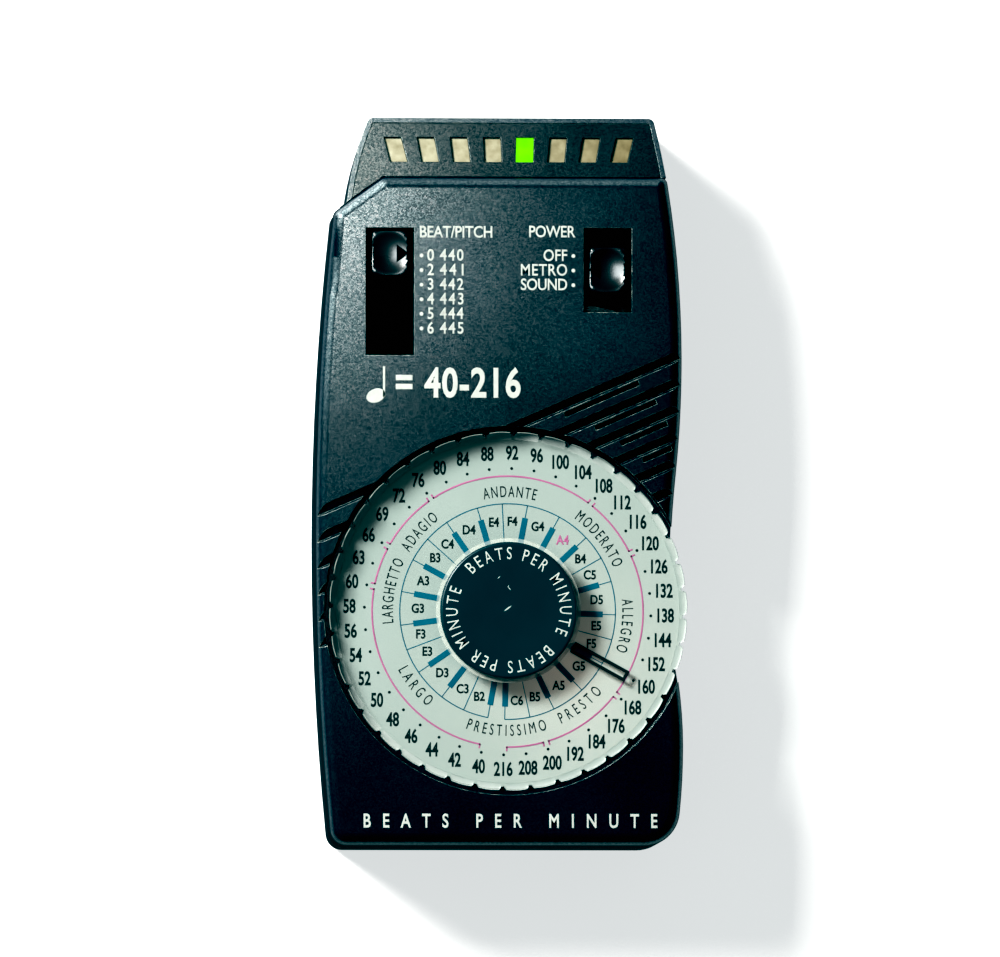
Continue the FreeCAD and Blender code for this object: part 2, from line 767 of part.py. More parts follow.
def dial_wheel():
    rim_in = wheel_r - wheel_rim_w
    rim_under = wheel_top - wheel_rim_h
    bevel = 0.4
    collar_in = cap_r + slide_fit
    wheel = turned([
        (shaft_r + run_fit, web_under), (rim_in, web_under), (rim_in + bevel, rim_under),
        (wheel_r - bevel, rim_under), (wheel_r, rim_under + bevel), (wheel_r, wheel_top - bevel),
        (wheel_r - bevel, wheel_top), (rim_in + bevel, wheel_top), (rim_in, web_top),
        (collar_in + collar_w, web_top), (collar_in + collar_w, web_top + collar_h),
        (collar_in, web_top + collar_h), (collar_in, web_top), (shaft_r + run_fit, web_top),
    ])
    notch = dial_box(
        -notch_w / 2, notch_w / 2, wheel_r - notch_depth, wheel_r + 1,
        rim_under - 1, wheel_top + 1,
    )
    notches = [around_dial(notch, first_notch_deg + step_deg * index) for index in range(n_steps)]
    return wheel.cut(notches + [pointer_frame(pointer_t + run_fit, run_fit)])


def pointer_frame(depth, grow):
    """A thin rectangle drawn under the wheel, from the cap towards the numbers."""
    half = pointer_w / 2
    line = pointer_line
    low = web_under - 1 if grow else web_under
    outer = dial_box(-half - grow, half + grow, pointer_in - grow, pointer_out + grow, low, web_under + depth)
    inner = dial_box(-half + line + grow, half - line - grow, pointer_in + line + grow,
                     pointer_out - line - grow, low - 1, web_under + depth + 1)
    return around_dial(outer.cut(inner), pointer_deg)


def dial_pointer():
    return pointer_frame(pointer_t, 0)


def dial_cap():
    cap = on_dial(web_top, cap_top, cap_r)
    return cap.makeFillet(cap_round, level_edges(cap, cap_top))


def shaft_flat(grow, z0, z1):
    """The flatted lower part of the shaft."""
    flat = shaft_r * 0.7 + grow
    return on_dial(z0, z1, shaft_r + grow).cut(dial_box(-9, 9, flat, 9, z0 - 1, z1 + 1))


def clip_z():
    return rotor_z - wiper_t - slide_fit - clip_t


def dial_hub():
    shaft = on_dial(floor_under - air, web_top, shaft_r)
    flange = on_dial(web_under - hub_flange_t, web_under, hub_flange_r)
    hub = fuse([shaft, flange, shaft_flat(0, shaft_end, floor_under)])
    z0 = clip_z() - run_fit
    z1 = clip_z() + clip_t + run_fit
    neck = on_dial(z0, z1, shaft_r + 1).cut(on_dial(z0 - 1, z1 + 1, shaft_r - clip_groove))
    return hub.cut(neck)


def dial_rotor():
    rotor = on_dial(rotor_z, rotor_z + rotor_t, rotor_r)
    notch = disc(0, dial_from_foot + rotor_r, rotor_z - 1, rotor_z + rotor_t + 1, rotor_notch_r)
    notches = [around_dial(notch, step_deg * index) for index in range(n_steps)]
    return rotor.cut(notches + [shaft_flat(run_fit, rotor_z - 1, rotor_z + rotor_t + 1)])


def wiper_finger(r_in, r_out):
    """One sprung finger that bends down from the wiper's plate to the board."""
    top, tip = rotor_z, wiper_z
    run = 4.0
    side = [(0.0, top), (0.0, top - wiper_t), (run, tip), (run + 0.8, tip), (run + 0.8, tip + wiper_t / 2),
            (run, tip + wiper_t), (1.0, top)]
    points = [at(x, dial_from_foot + r_in, z) for x, z in side]
    return Part.Face(Part.makePolygon(points + points[:1])).extrude(V(0, r_out - r_in, 0))


def dial_wiper():
    plate = ring(0, dial_from_foot, rotor_z - wiper_t, rotor_z, wiper_in, wiper_out)
    fingers = [
        wiper_finger(pad_in + 0.4, pad_out - 0.4),
        around_dial(wiper_finger(common_in + 0.3, common_out - 0.3), 120),
        around_dial(wiper_finger(common_in + 0.3, common_out - 0.3), 240),
    ]
    near, far = wiper_slot
    low, high = rotor_z - 1, rotor_z + 1
    common_slot = dial_box(near, far, common_in + 0.1, common_out - 0.1, low, high)
    slots = [
        dial_box(near, far, pad_in + 0.2, pad_out - 0.2, low, high),
        around_dial(common_slot, 120),
        around_dial(common_slot, 240),
    ]
    return fuse([plate.cut(slots)] + fingers)


def rotor_clip():
    clip = ring(0, dial_from_foot, clip_z(), clip_z() + clip_t, shaft_r - clip_groove + run_fit, clip_r)
    mouth = shaft_r - clip_groove - run_fit
    return clip.cut(dial_box(-mouth, mouth, 0, clip_r + 1, clip_z() - 1, clip_z() + 1))


def click_spring():
    """A leaf with a nib that rides the rotor's notched edge, on a foot on the board."""
    leaf_r = rotor_r + slide_fit + spring_nib_r
    low, high = rotor_z + spring_in, rotor_z + rotor_t - spring_in
    nib = disc(0, dial_from_foot + leaf_r, low, high, spring_nib_r)
    nib = nib.cut(dial_box(-2, 2, leaf_r + 0.1, leaf_r + 2, low - 1, high + 1))
    leaf = dial_box(-spring_leaf[0], spring_leaf[1], leaf_r, leaf_r + spring_t, low, high)
    foot_near = spring_leaf[1] - spring_foot_l / 2
    foot = dial_box(foot_near, foot_near + spring_foot_l, leaf_r, leaf_r + spring_foot_w, board_top, high)
    return around_dial(fuse([nib, leaf, foot]), -90)


def contact_pads():
    z0, z1 = board_top, board_top + pad_t
    whole = ring(0, dial_from_foot, z0, z1, pad_in, pad_out)
    half = math.radians(step_deg * 0.39)
    reach = pad_out * 1.2
    wedge = prism([
        at(0, dial_from_foot),
        at(-reach * math.tan(half), dial_from_foot + reach),
        at(reach * math.tan(half), dial_from_foot + reach),
    ], z0, z1)
    pad = whole.common(wedge)
    pads = [around_dial(pad, step_deg * index) for index in range(n_steps)]
    return group(pads + [ring(0, dial_from_foot, z0, z1, common_in, common_out)])


# ---------------------------------------------------------------- switches
class Switch:
    """A slide switch on the board: its slot, its button's place and how far the button travels."""

    def __init__(self, slot, button_l, from_end, back, forth):
        self.slot = slot
        self.x = (slot[0] + slot[1]) / 2
        self.y = length - from_end
        self.button_l = button_l
        self.back, self.forth = back, forth      # travel towards the foot and towards the lights

    def body(self):
        half, top = switch_w / 2, board_top + switch_h
        reach = lever_l / 2 + switch_end
        block = box(
            self.x - half, self.x + half,
            self.y - self.back - reach, self.y + self.forth + reach,
            board_top, top,
        )
        track = box(
            self.x - lever_w / 2 - slide_fit, self.x + lever_w / 2 + slide_fit,
            self.y - self.back - lever_l / 2 - air, self.y + self.forth + lever_l / 2 + air,
            board_top + switch_h / 2, top + 1,
        )
        return block.cut(track)

    def lever(self):
        return box(
            self.x - lever_w / 2, self.x + lever_w / 2, self.y - lever_l / 2, self.y + lever_l / 2,
            board_top + switch_h / 2 + slide_fit, button_z + lever_socket - slide_fit,
        )

    def button(self):
        half_w, half_l = button_w / 2, self.button_l / 2
        block = box(self.x - half_w, self.x + half_w, self.y - half_l, self.y + half_l, button_z, button_top)
        corners = [at(self.x + i * half_w, self.y + j * half_l) for i in (-1, 1) for j in (-1, 1)]
        for corner in corners:
            block = block.makeFillet(button_round, upright_edges(block, corner, 0.2))
        dish = Part.makeSphere(dish_r, at(self.x, self.y, button_top + dish_r - dish_depth))
        flange_w = (self.slot[1] - self.slot[0]) / 2 + flange_past_slot
        flange = box(
            self.x - flange_w, self.x + flange_w, self.y - half_l - 0.2, self.y + half_l + 0.2,
            button_z - flange_t, button_z,
        )
        socket = box(
            self.x - lever_w / 2 - run_fit, self.x + lever_w / 2 + run_fit,
            self.y - lever_l / 2 - run_fit, self.y + lever_l / 2 + run_fit,
            button_z - 2, button_z + lever_socket,
        )
        return block.cut(dish).fuse(flange).cut(socket).removeSplitter()


pitch = Switch(pitch_slot, pitch_button_l, pitch_from_end, switch_step * pitch_steps, 0)
power = Switch(power_slot, power_button_l, power_from_end, switch_step, switch_step)


# ---------------------------------------------------------------- board
def main_board():
    board = inset(wall + board_edge, board_z, board_top)
    board = board.common(box(
        -left_reach, left_reach, board_from_foot, length - board_from_end, board_z - 1, board_top + 1,
    ))
    cuts = [
        light_end(-wall - board_edge, board_z - 1, board_top + 1),
        disc(speaker_x, speaker_y, board_z - 1, board_top + 1, speaker_hole_r + air),
    ]
    for x, y in case_bosses:
        cuts.append(disc(x, y, board_z - 1, board_top + 1, boss_r + air))
    for x, y in board_posts:
        cuts.append(disc(x, y, board_z - 1, board_top + 1, board_screw_r + slide_fit))
    return largest(board.cut(cuts))


def timing_chip():
    """The counter chip, with a row of legs on each long side."""
    x, y = driver_x - chip_to_driver, length - driver_end
    z = board_top + chip_up
    body = box(x - chip_w / 2, x + chip_w / 2, y - chip_l / 2, y + chip_l / 2, z, z + chip_t)
    legs = []
    row = chip_l - 2 * chip_leg_inset
    for index in range(chip_legs):
        leg_y = y - row / 2 + index * row / (chip_legs - 1)
        for outer in (x - chip_w / 2 - chip_leg_out, x + chip_w / 2):
            legs.append(box(
                outer, outer + chip_leg_out, leg_y - leg_w / 2, leg_y + leg_w / 2,
                board_top, board_top + chip_leg_h,
            ))
    return fuse([body] + legs)


def leg(x, y, top):
    """A wire leg that stands on the board."""
    half = leg_w / 2
    return box(x - half, x + half, y - half, y + half, board_top, top)


def quartz_crystal():
    """A metal can that lies on the board on its two leads."""
    x, y, z = crystal_x, length - crystal_end, board_top + crystal_r
    can = Part.makeCylinder(crystal_r, crystal_l, at(x, y, z), V(0, 1, 0))
    can = can.makeFillet(0.4, [e for e in can.Edges if e.Length > 1 and e.BoundBox.YLength < 0.01])
    foot_y0 = y - crystal_wire_l
    leads = []
    for lead_x in (x - crystal_wire_pitch / 2, x + crystal_wire_pitch / 2):
        leads.append(Part.makeCylinder(wire_r, crystal_wire_l, at(lead_x, foot_y0, z), V(0, 1, 0)))
        leads.append(leg(lead_x, foot_y0, z + wire_r))
    return fuse([can] + leads)


def capacitors():
    """Upright electrolytic cans."""
    made = []
    for x, end, (r, h) in zip((can_x, power_slot[0] - can_to_slot, driver_x), can_ends, can_sizes):
        can = disc(x, length - end, board_top, board_top + h, r)
        made.append(can.makeFillet(0.35, level_edges(can, board_top + h)))
    return group(made)


def resistors():
    """Small axial resistors that lie in rows on the board."""
    made = []
    for x, end in resistor_rows + ((resistor_side_in - left_reach, resistor_side_end),):
        y, z = length - end, board_top + resistor_r
        body = Part.makeCylinder(resistor_r, resistor_l, at(x - resistor_l / 2, y, z), V(1, 0, 0))
        wire = Part.makeCylinder(wire_r, resistor_wire_l, at(x - resistor_wire_l / 2, y, z), V(1, 0, 0))
        feet = [leg(x + side * resistor_wire_l / 2, y, z + wire_r) for side in (-1, 1)]
        made.append(fuse([body, wire] + feet))
    return group(made)


def transistor():
    """The speaker's driver, a rounded black case with a flat side and three legs."""
    x, y = driver_x, length - driver_end
    low = board_top + driver_up
    body = disc(x, y, low, low + driver_h, driver_r)
    body = body.cut(box(x - driver_r, x + driver_r, y + driver_flat, y + driver_r, low, low + driver_h))
    legs = [leg(x + index * driver_leg_pitch, y, low + 0.1) for index in (-1, 0, 1)]
    return fuse([body] + legs)


# ---------------------------------------------------------------- speaker
def speaker_turned(profile):
    points = [at(speaker_x + r, speaker_y, z) for r, z in profile]
    face = Part.Face(Part.makePolygon(points + points[:1]))
    return face.revolve(at(speaker_x, speaker_y), UP, 360)


def speaker_frame():
    """A pressed basket: a flat rim, a shoulder for the cone and a cup with four windows."""
    top, t = speaker_top, basket_t
    shoulder_z = top - speaker_rim_h
    floor_z = shoulder_z - basket_h
    rim_in = speaker_r - speaker_rim_w
    shoulder_in = rim_in - 0.8
    frame = speaker_turned([
        (speaker_r, top), (rim_in, top), (rim_in, shoulder_z), (shoulder_in, shoulder_z),
        (basket_r - t, floor_z + t), (cone_in, floor_z + t), (cone_in, floor_z),
        (basket_r, floor_z), (shoulder_in + t, shoulder_z - t), (speaker_r, shoulder_z - t),
    ])
    cutter = box(speaker_x - 2.2, speaker_x + 2.2, speaker_y + basket_r - 2.2, speaker_y + 20,
                 floor_z + t, shoulder_z - t)
    cuts = []
    for index in range(4):
        copy = cutter.copy()
        copy.rotate(at(speaker_x, speaker_y), UP, 45 + 90 * index)
        cuts.append(copy)
    tab_top = shoulder_z - t
    tab_x = speaker_x - speaker_r + tab_in
    tab = box(
        tab_x, tab_x + tab_l, speaker_y - tab_w / 2, speaker_y + tab_w / 2,
        tab_top - tab_h, tab_top,
    )
    return frame.cut(cuts).fuse(tab).removeSplitter()


def speaker_magnet():
    top = speaker_top - speaker_rim_h - basket_h
    return disc(speaker_x, speaker_y, top - magnet_h, top, magnet_r)


def speaker_cone():
    """Paper cone with a flat edge on the basket's shoulder and a round dome in the middle."""
    edge_z = speaker_top - speaker_rim_h
    out = speaker_r - speaker_rim_w - run_fit
    t, low = cone_t, edge_z - cone_depth
    cone = speaker_turned([
        (out, edge_z), (out, edge_z + t), (out - 1.6, edge_z + t), (cone_in, low + t), (0, low + 2 * t),
        (0, low + t), (cone_in, low), (out - 1.6, edge_z),
    ])
    return cone


def speaker_cloth():
    return disc(speaker_x, speaker_y, speaker_top, speaker_top + cloth_t,
                speaker_r - speaker_ledge_w - run_fit)


# ---------------------------------------------------------------- battery
def battery_y():
    return battery_from_foot + battery_w / 2


def battery():
    x1 = battery_x + battery_l
    block = box(battery_x, x1, battery_from_foot, battery_from_foot + battery_w, battery_z, bay_top)
    along = [e for e in block.Edges if e.BoundBox.XLength > 1]
    return block.makeFillet(battery_corner_r, along)


def stud_places():
    return [(battery_y() - stud_pitch / 2, 1.0), (battery_y() + stud_pitch / 2, 1.35)]


def battery_terminals():
    """The two studs on the battery's end, one wider than the other."""
    z = battery_z + battery_h / 2
    studs = []
    for y, scale in stud_places():
        studs.append(Part.makeCylinder(stud_r * scale, stud_h, at(battery_x + battery_l, y, z), V(1, 0, 0)))
    return group(studs)


def battery_snap():
    """The connector plate that presses onto both studs."""
    z = battery_z + battery_h / 2
    x0 = battery_x + battery_l + 0.2
    x1 = battery_x + battery_l + stud_h + snap_back
    half_w = stud_pitch / 2 + snap_r
    plate = box(x0, x1, battery_y() - half_w, battery_y() + half_w, z - snap_r, z + snap_r)
    ends = [e for e in plate.Edges if e.BoundBox.XLength > 1]
    plate = plate.makeFillet(snap_r * 0.8, ends)
    holes = []
    for y, scale in stud_places():
        depth = stud_h + slide_fit
        mouth = at(battery_x + battery_l, y, z)
        holes.append(Part.makeCylinder(stud_r * scale + slide_fit, depth, mouth, V(1, 0, 0)))
    return plate.cut(holes)


def lead(points, bend, r):
    """A wire along straight runs joined by tangent arcs."""
    edges = []
    start = points[0]
    for before, corner, after in zip(points, points[1:], points[2:]):
        a = (before - corner).normalize()
        b = (after - corner).normalize()
        half = a.getAngle(b) / 2
        back = bend / math.tan(half)
        p, q = corner + a * back, corner + b * back
        out = (a + b).normalize()
        middle = corner + out * (bend / math.sin(half) - bend)
        edges += [Part.LineSegment(start, p).toShape(), Part.Arc(p, middle, q).toShape()]
        start = q
    edges.append(Part.LineSegment(start, points[-1]).toShape())
    profile = Part.Wire(Part.Circle(points[0], points[1] - points[0], r).toShape())
    return Part.Wire(edges).makePipeShell([profile], True, False)


def battery_lead(index):
    """From the top of the snap connector over the board's edge and down onto the board."""
    x = battery_x + battery_l + (0.8 + 1.5 * index)
    y0 = battery_y() + stud_pitch / 2 - 2.0 * index
    y1 = board_from_foot + 1.8 + 1.6 * index
    low = battery_z + battery_h / 2 + snap_r
    high = board_top + 2.0
    return lead([at(x, y0, low), at(x, y0, high), at(x, y1, high), at(x, y1, board_top)], 1.0, lead_r)


def speaker_lead(index):
    """From the basket under the holder's ring and down onto the board."""
    y = speaker_y - 2.0 + 4.0 * index
    z = board_top + 0.8
    x0 = speaker_x - speaker_r + tab_in
    x1 = speaker_x - speaker_hole_r - lead_landing
    return lead([at(x0, y, z), at(x1, y, z), at(x1, y, board_top)], 0.6, speaker_lead_r)


def main():
    os.makedirs("parts", exist_ok=True)
    parts = {
        "front_cover": front_cover(),
        "back_case": back_case(),
        "battery_door": battery_door(),
        "case_screws": case_screws(),
        "light_panel": light_panel(),
        "beat_windows": beat_windows(),
        "beat_window_lit": beat_window_lit(),
        "leds": leds(),
        "led_board": led_board(),
        "led_ribbon": led_ribbon(),
        "scale_plate": scale_plate(),
        "dial_wheel": dial_wheel(),
        "dial_pointer": dial_pointer(),
        "dial_cap": dial_cap(),
        "dial_hub": dial_hub(),
        "dial_rotor": dial_rotor(),
        "dial_wiper": dial_wiper(),
        "rotor_clip": rotor_clip(),
        "click_spring": click_spring(),
        "contact_pads": contact_pads(),
        "pitch_switch": pitch.body(),
        "pitch_lever": pitch.lever(),
        "pitch_slider": pitch.button(),
        "power_switch": power.body(),
        "power_lever": power.lever(),
        "power_slider": power.button(),
        "main_board": main_board(),
        "board_screws": board_screws(),
        "timing_chip": timing_chip(),
        "quartz_crystal": quartz_crystal(),
        "capacitors": capacitors(),
        "resistors": resistors(),
        "transistor": transistor(),
        "speaker_frame": speaker_frame(),
        "speaker_magnet": speaker_magnet(),
        "speaker_cone": speaker_cone(),
        "speaker_cloth": speaker_cloth(),
        "battery": battery(),
        "battery_terminals": battery_terminals(),
        "battery_snap": battery_snap(),
        "battery_lead_plus": battery_lead(0),
        "battery_lead_minus": battery_lead(1),
        "speaker_leads": group([speaker_lead(0), speaker_lead(1)]),
    }
    for name, shape in parts.items():
        if not shape.isValid() or not shape.Solids:
            raise RuntimeError(name + " is not a valid solid")
        print(f"{name}: {len(shape.Solids)} solid(s), {shape.Volume:.1f} mm3")
        shape.exportStep("parts/" + name + ".step")


main()
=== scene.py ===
# %% [markdown]
# # A pocket quartz metronome
# This lesson dresses a measured model of a pocket metronome. The model comes from CAD as loose
# pieces that already have their true size and place. Blender adds what CAD leaves out: the
# printing, the clear moulded wheel, the grain of the plastics, the lamps and the camera.
# The pieces arrive as a fixed frame. They are never moved, they only get finishes, and each new
# piece says which moving body it rides on.

# %% Load the frame
import json
import math

import bpy
from mathutils import Matrix, Vector


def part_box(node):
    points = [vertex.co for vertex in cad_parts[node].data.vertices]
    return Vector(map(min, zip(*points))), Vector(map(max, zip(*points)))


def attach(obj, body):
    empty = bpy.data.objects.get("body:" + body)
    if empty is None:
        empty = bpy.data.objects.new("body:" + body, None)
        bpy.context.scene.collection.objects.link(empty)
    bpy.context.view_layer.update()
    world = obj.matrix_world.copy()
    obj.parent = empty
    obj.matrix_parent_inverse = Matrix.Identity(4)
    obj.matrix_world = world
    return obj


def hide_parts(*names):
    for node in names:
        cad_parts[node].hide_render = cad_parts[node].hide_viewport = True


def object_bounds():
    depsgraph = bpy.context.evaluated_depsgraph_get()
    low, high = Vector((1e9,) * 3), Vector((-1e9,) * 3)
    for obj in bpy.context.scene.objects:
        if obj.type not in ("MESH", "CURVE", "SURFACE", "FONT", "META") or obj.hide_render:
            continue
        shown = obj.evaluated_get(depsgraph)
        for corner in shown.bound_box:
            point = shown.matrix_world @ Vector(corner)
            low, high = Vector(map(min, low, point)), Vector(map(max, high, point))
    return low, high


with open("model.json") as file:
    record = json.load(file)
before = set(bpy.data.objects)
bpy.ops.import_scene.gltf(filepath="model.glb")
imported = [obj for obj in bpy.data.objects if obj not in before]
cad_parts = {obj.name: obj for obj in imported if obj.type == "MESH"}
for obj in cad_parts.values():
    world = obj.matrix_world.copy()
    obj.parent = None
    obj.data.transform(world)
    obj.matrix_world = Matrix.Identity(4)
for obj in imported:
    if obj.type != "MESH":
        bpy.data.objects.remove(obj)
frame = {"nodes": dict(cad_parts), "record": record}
cad_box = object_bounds()
nodes = frame["nodes"]
scene = bpy.context.scene

# %% [markdown]
# Everything that is added later sits somewhere on this object, so its places are read from the
# pieces themselves. Places on the face are given as a maker would mark them out: millimetres to
# the right of the dial's axis, and millimetres up from the foot end.

# %% Measures read from the frame
MM = 0.001
cap_low, cap_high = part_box("dial_cap")
plate_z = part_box("scale_plate")[1].z
wheel_low, wheel_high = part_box("dial_wheel")
cover_low, cover_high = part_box("front_cover")
dial_x, dial_y = (cap_low.x + cap_high.x) / 2, (cap_low.y + cap_high.y) / 2
foot_y, face_z = cover_low.y, cover_high.z
wheel_r = (wheel_high.x - wheel_low.x) / 2
cap_r = (cap_high.x - cap_low.x) / 2


def on_face(x, y, z=face_z):
    """A place on the face, from the dial's axis and from the foot end in millimetres."""
    return Vector((dial_x + x * MM, foot_y + y * MM, z))


def on_dial(r, clockwise, z=plate_z):
    """A place on the dial: a radius in millimetres and degrees clockwise from twelve o'clock."""
    a = math.radians(clockwise)
    return Vector((dial_x + r * MM * math.sin(a), dial_y + r * MM * math.cos(a), z))


print("dial axis at", round(dial_x / MM, 2), round(dial_y / MM, 2), "mm")
print("wheel radius", round(wheel_r / MM, 2), "mm")

# %% [markdown]
# Operators work on whatever is selected, and the frame arrives selected. These helpers clear the
# selection, keep hold of the new object, and put a finished piece's place into its mesh.

# %% Helpers for selecting and finishing pieces
finishes = {}                     # every finish by its name, which is also its slot's name


def deselect():
    bpy.ops.object.select_all(action="DESELECT")


def added(operator, **settings):
    """The new object that one of Blender's operators adds."""
    deselect()
    operator(**settings)
    return bpy.context.object


def alone(obj):
    """Make one object the only selected and the active one."""
    deselect()
    obj.select_set(True)
    bpy.context.view_layer.objects.active = obj
    return obj


def settle(obj):
    """Put the object's place, turn and size into its mesh."""
    alone(obj)
    bpy.ops.object.transform_apply(location=True, rotation=True, scale=True)
    return obj


def joined(name, parts):
    """One piece from several meshes."""
    alone(parts[0])
    for part in parts:
        part.select_set(True)
    bpy.ops.object.join()
    return named(bpy.context.object, name)


def named(piece, name):
    """Name a piece and its mesh alike."""
    piece.name = piece.data.name = name
    return piece


def finished(piece, body, slot, finish=None):
    """Give a piece its body and the finish named by its slot, or another finish."""
    piece.data.materials.clear()
    piece.data.materials.append(finishes[finish or slot])
    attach(piece, body)
    print(piece.name, len(piece.data.polygons), "faces, rides on", body)
    return piece


# %% [markdown]
# Materials and the sky are trees of nodes. Each helper below adds a node to a tree, feeds it with
# other nodes' outputs or with plain values, and hands its own output back, so that a material
# reads like a formula. All patterns use Object coordinates, which are metres here, so a noise
# scale of 5000 gives grain of about 0.2 mm.

# %% Helpers for nodes: feeding sockets and making patterns
def new(tree, kind, **settings):
    """A new node of some kind, with its settings."""
    node = tree.nodes.new("ShaderNode" + kind)
    for name, value in settings.items():
        setattr(node, name, value)
    return node


def feed(tree, socket, value):
    """Link a node's output to a socket, or set the socket to a plain value."""
    if isinstance(value, bpy.types.NodeSocket):
        tree.links.new(value, socket)
    else:
        socket.default_value = value


def wire(tree, shader, sockets):
    """Feed several of a shader's sockets by their names."""
    for name, value in sockets.items():
        feed(tree, shader.inputs[name], value)


def object_place(tree):
    return new(tree, "TexCoord").outputs["Object"]


def axis(tree, name, vector):
    """One coordinate of a vector."""
    node = new(tree, "SeparateXYZ")
    tree.links.new(vector, node.inputs["Vector"])
    return node.outputs[name]


def noise(tree, scale, detail=3.0, stretch=None):
    """A noise in object space, stretched when a grain has a direction."""
    texture = new(tree, "TexNoise")
    source = object_place(tree)
    if stretch:
        mapping = new(tree, "Mapping")
        wire(tree, mapping, {"Scale": stretch, "Vector": source})
        source = mapping.outputs["Vector"]
    wire(tree, texture, {"Scale": scale, "Detail": detail, "Vector": source})
    return texture.outputs["Fac"]


def cells(tree, scale, output):
    """A pattern of cells: each cell's own colour, or the distance from its middle."""
    texture = new(tree, "TexVoronoi")
    wire(tree, texture, {"Scale": scale, "Vector": object_place(tree)})
    return texture.outputs[output]


print("node helpers for coordinates, noise and cells are ready")

# %% Helpers for nodes: mapping, sums and mixes
def shades(tree, factor, stops):
    """A colour ramp over a factor, from (position, colour) stops."""
    ramp = new(tree, "ValToRGB")
    elements = ramp.color_ramp.elements
    while len(elements) < len(stops):
        elements.new(0.5)
    for element, (position, colour) in zip(elements, stops):
        element.position = position
        element.color = (*colour, 1)
    tree.links.new(factor, ramp.inputs["Fac"])
    return ramp.outputs["Color"]


def spread(tree, factor, low, high, start=0.3, stop=0.7):
    """Map start to stop, which is a noise's useful middle if not given, onto low to high."""
    node = new(tree, "MapRange")
    wire(tree, node, {"From Min": start, "From Max": stop, "To Min": low, "To Max": high,
                      "Value": factor})
    return node.outputs["Result"]


def calculated(tree, operation, first, second, clamp=False):
    """A math node's answer."""
    node = new(tree, "Math", operation=operation, use_clamp=clamp)
    feed(tree, node.inputs[0], first)
    feed(tree, node.inputs[1], second)
    return node.outputs["Value"]


def alignment(tree, first, second):
    """1 where two directions agree, 0 where they are at right angles and -1 where they oppose."""
    node = new(tree, "VectorMath", operation="DOT_PRODUCT")
    feed(tree, node.inputs[0], first)
    feed(tree, node.inputs[1], second)
    return node.outputs["Value"]


def mixed(tree, factor, first, second, blend="MIX"):
    """A mix of two colours."""
    node = new(tree, "Mix", data_type="RGBA", blend_type=blend)
    wire(tree, node, {"Factor": factor, "A": first, "B": second})
    return node.outputs["Result"]


def rounded_normal(tree, reach):
    """The surface's direction, as if its edges were rounded to a radius in millimetres."""
    node = new(tree, "Bevel", samples=4)
    node.inputs["Radius"].default_value = reach * MM
    return node.outputs["Normal"]


print("node helpers for ramps, ranges, sums and mixes are ready")

# %% [markdown]
# ## Camera
# The metronome lies on a table and is seen from almost straight above, a little from the user's
# side and a little from the left. A long lens keeps the sides nearly parallel.

# %% Camera
SENSOR = 36                       # the film's width in millimetres
VIEW_DISTANCE = 2.2
VIEW_WIDTH = 180.5 * MM           # what the picture's width spans at the face
LEAN_LEFT, LEAN_DOWN = 2.6, 3.6   # degrees off straight above


def facing(way):
    """The turn that points an object's Z along a direction, with its Y towards the light end."""
    across = Vector((0, 1, 0)).cross(way).normalized()
    return Matrix((across, way.cross(across), way)).transposed().to_euler()


target = Vector((dial_x - 1.5 * MM, foot_y + 66.3 * MM, 26.5 * MM))
leans = (-math.tan(math.radians(LEAN_LEFT)), -math.tan(math.radians(LEAN_DOWN)), 1)
away = Vector(leans).normalized()

camera = added(bpy.ops.object.camera_add, location=target + away * VIEW_DISTANCE)
camera.rotation_euler = facing(away)
camera.data.sensor_width = SENSOR
camera.data.lens = SENSOR * VIEW_DISTANCE / VIEW_WIDTH
camera.data.clip_start = 0.01
scene.camera = camera
print("camera", round(camera.data.lens, 1), "mm lens, at", [round(v, 3) for v in camera.location])

# %% [markdown]
# ## Light and floor
# One fairly small softbox low on the upper left makes the crescent shadow inside the dial's well.
# Five small panels on the upper left are what the black plastic reflects: the face fades from grey
# to nearly black, and its rounded edge catches a long highlight. They light the black pieces
# alone, as a photographer would shade the dial from them with a card.
# A weak sky fills the shadows. A white floor would show as a glaring line along the foot of each
# wall, so glossy rays miss it. In its place they see a pale band in the sky's lower half, which
# is brighter towards the window and dark straight below.

# %% Softboxes
def area_lamp(name, place, size, power, colour, only=None):
    """A square lamp that shines straight down, on all pieces or only on some."""
    lamp = added(bpy.ops.object.light_add, type="AREA", location=place)
    lamp.name = name
    lamp.data.size, lamp.data.energy, lamp.data.color = size, power, colour
    if only:
        lamp.light_linking.receiver_collection = only
    return lamp


def softbox(name, clockwise, elevation, distance, *settings):
    """An area lamp that stands in some direction and points at the middle of the object."""
    a, e = math.radians(clockwise), math.radians(elevation)
    way = Vector((math.sin(a) * math.cos(e), math.cos(a) * math.cos(e), math.sin(e)))
    area_lamp(name, way * distance, *settings).rotation_euler = facing(way)


def group(name, *pieces):
    """A collection of the pieces that some lamp may light."""
    collection = bpy.data.collections.new(name)
    for piece in pieces:
        collection.objects.link(bpy.data.objects[piece])
    return collection


WARM_WHITE = (1.0, 0.98, 0.95)
black_parts = group("black_parts", "front_cover", "back_case")
light_end_parts = group("light_end_parts", "light_panel", "back_case")
for settings in (  # name, degrees clockwise from the light end, elevation, distance, size, watts
        ("key_softbox", 307, 38, 0.9, 0.26, 14.5, (1.0, 0.99, 0.95)),
        ("sheen_panel", 333, 73, 0.295, 0.05, 0.30, (1.0, 0.90, 0.86), black_parts),
        ("end_panel", 343, 50, 0.356, 0.05, 0.95, (1.0, 0.86, 0.78), light_end_parts),
        ("edge_panel", 312, 33, 0.26, 0.22, 1.8, WARM_WHITE, black_parts),
        ("low_panel", 318, 7, 0.28, 0.20, 0.8, WARM_WHITE, black_parts),
        ("top_panel", 355, 24, 0.28, 0.18, 0.35, WARM_WHITE, black_parts)):
    softbox(*settings)
print("six softboxes, five of them for the black pieces alone")

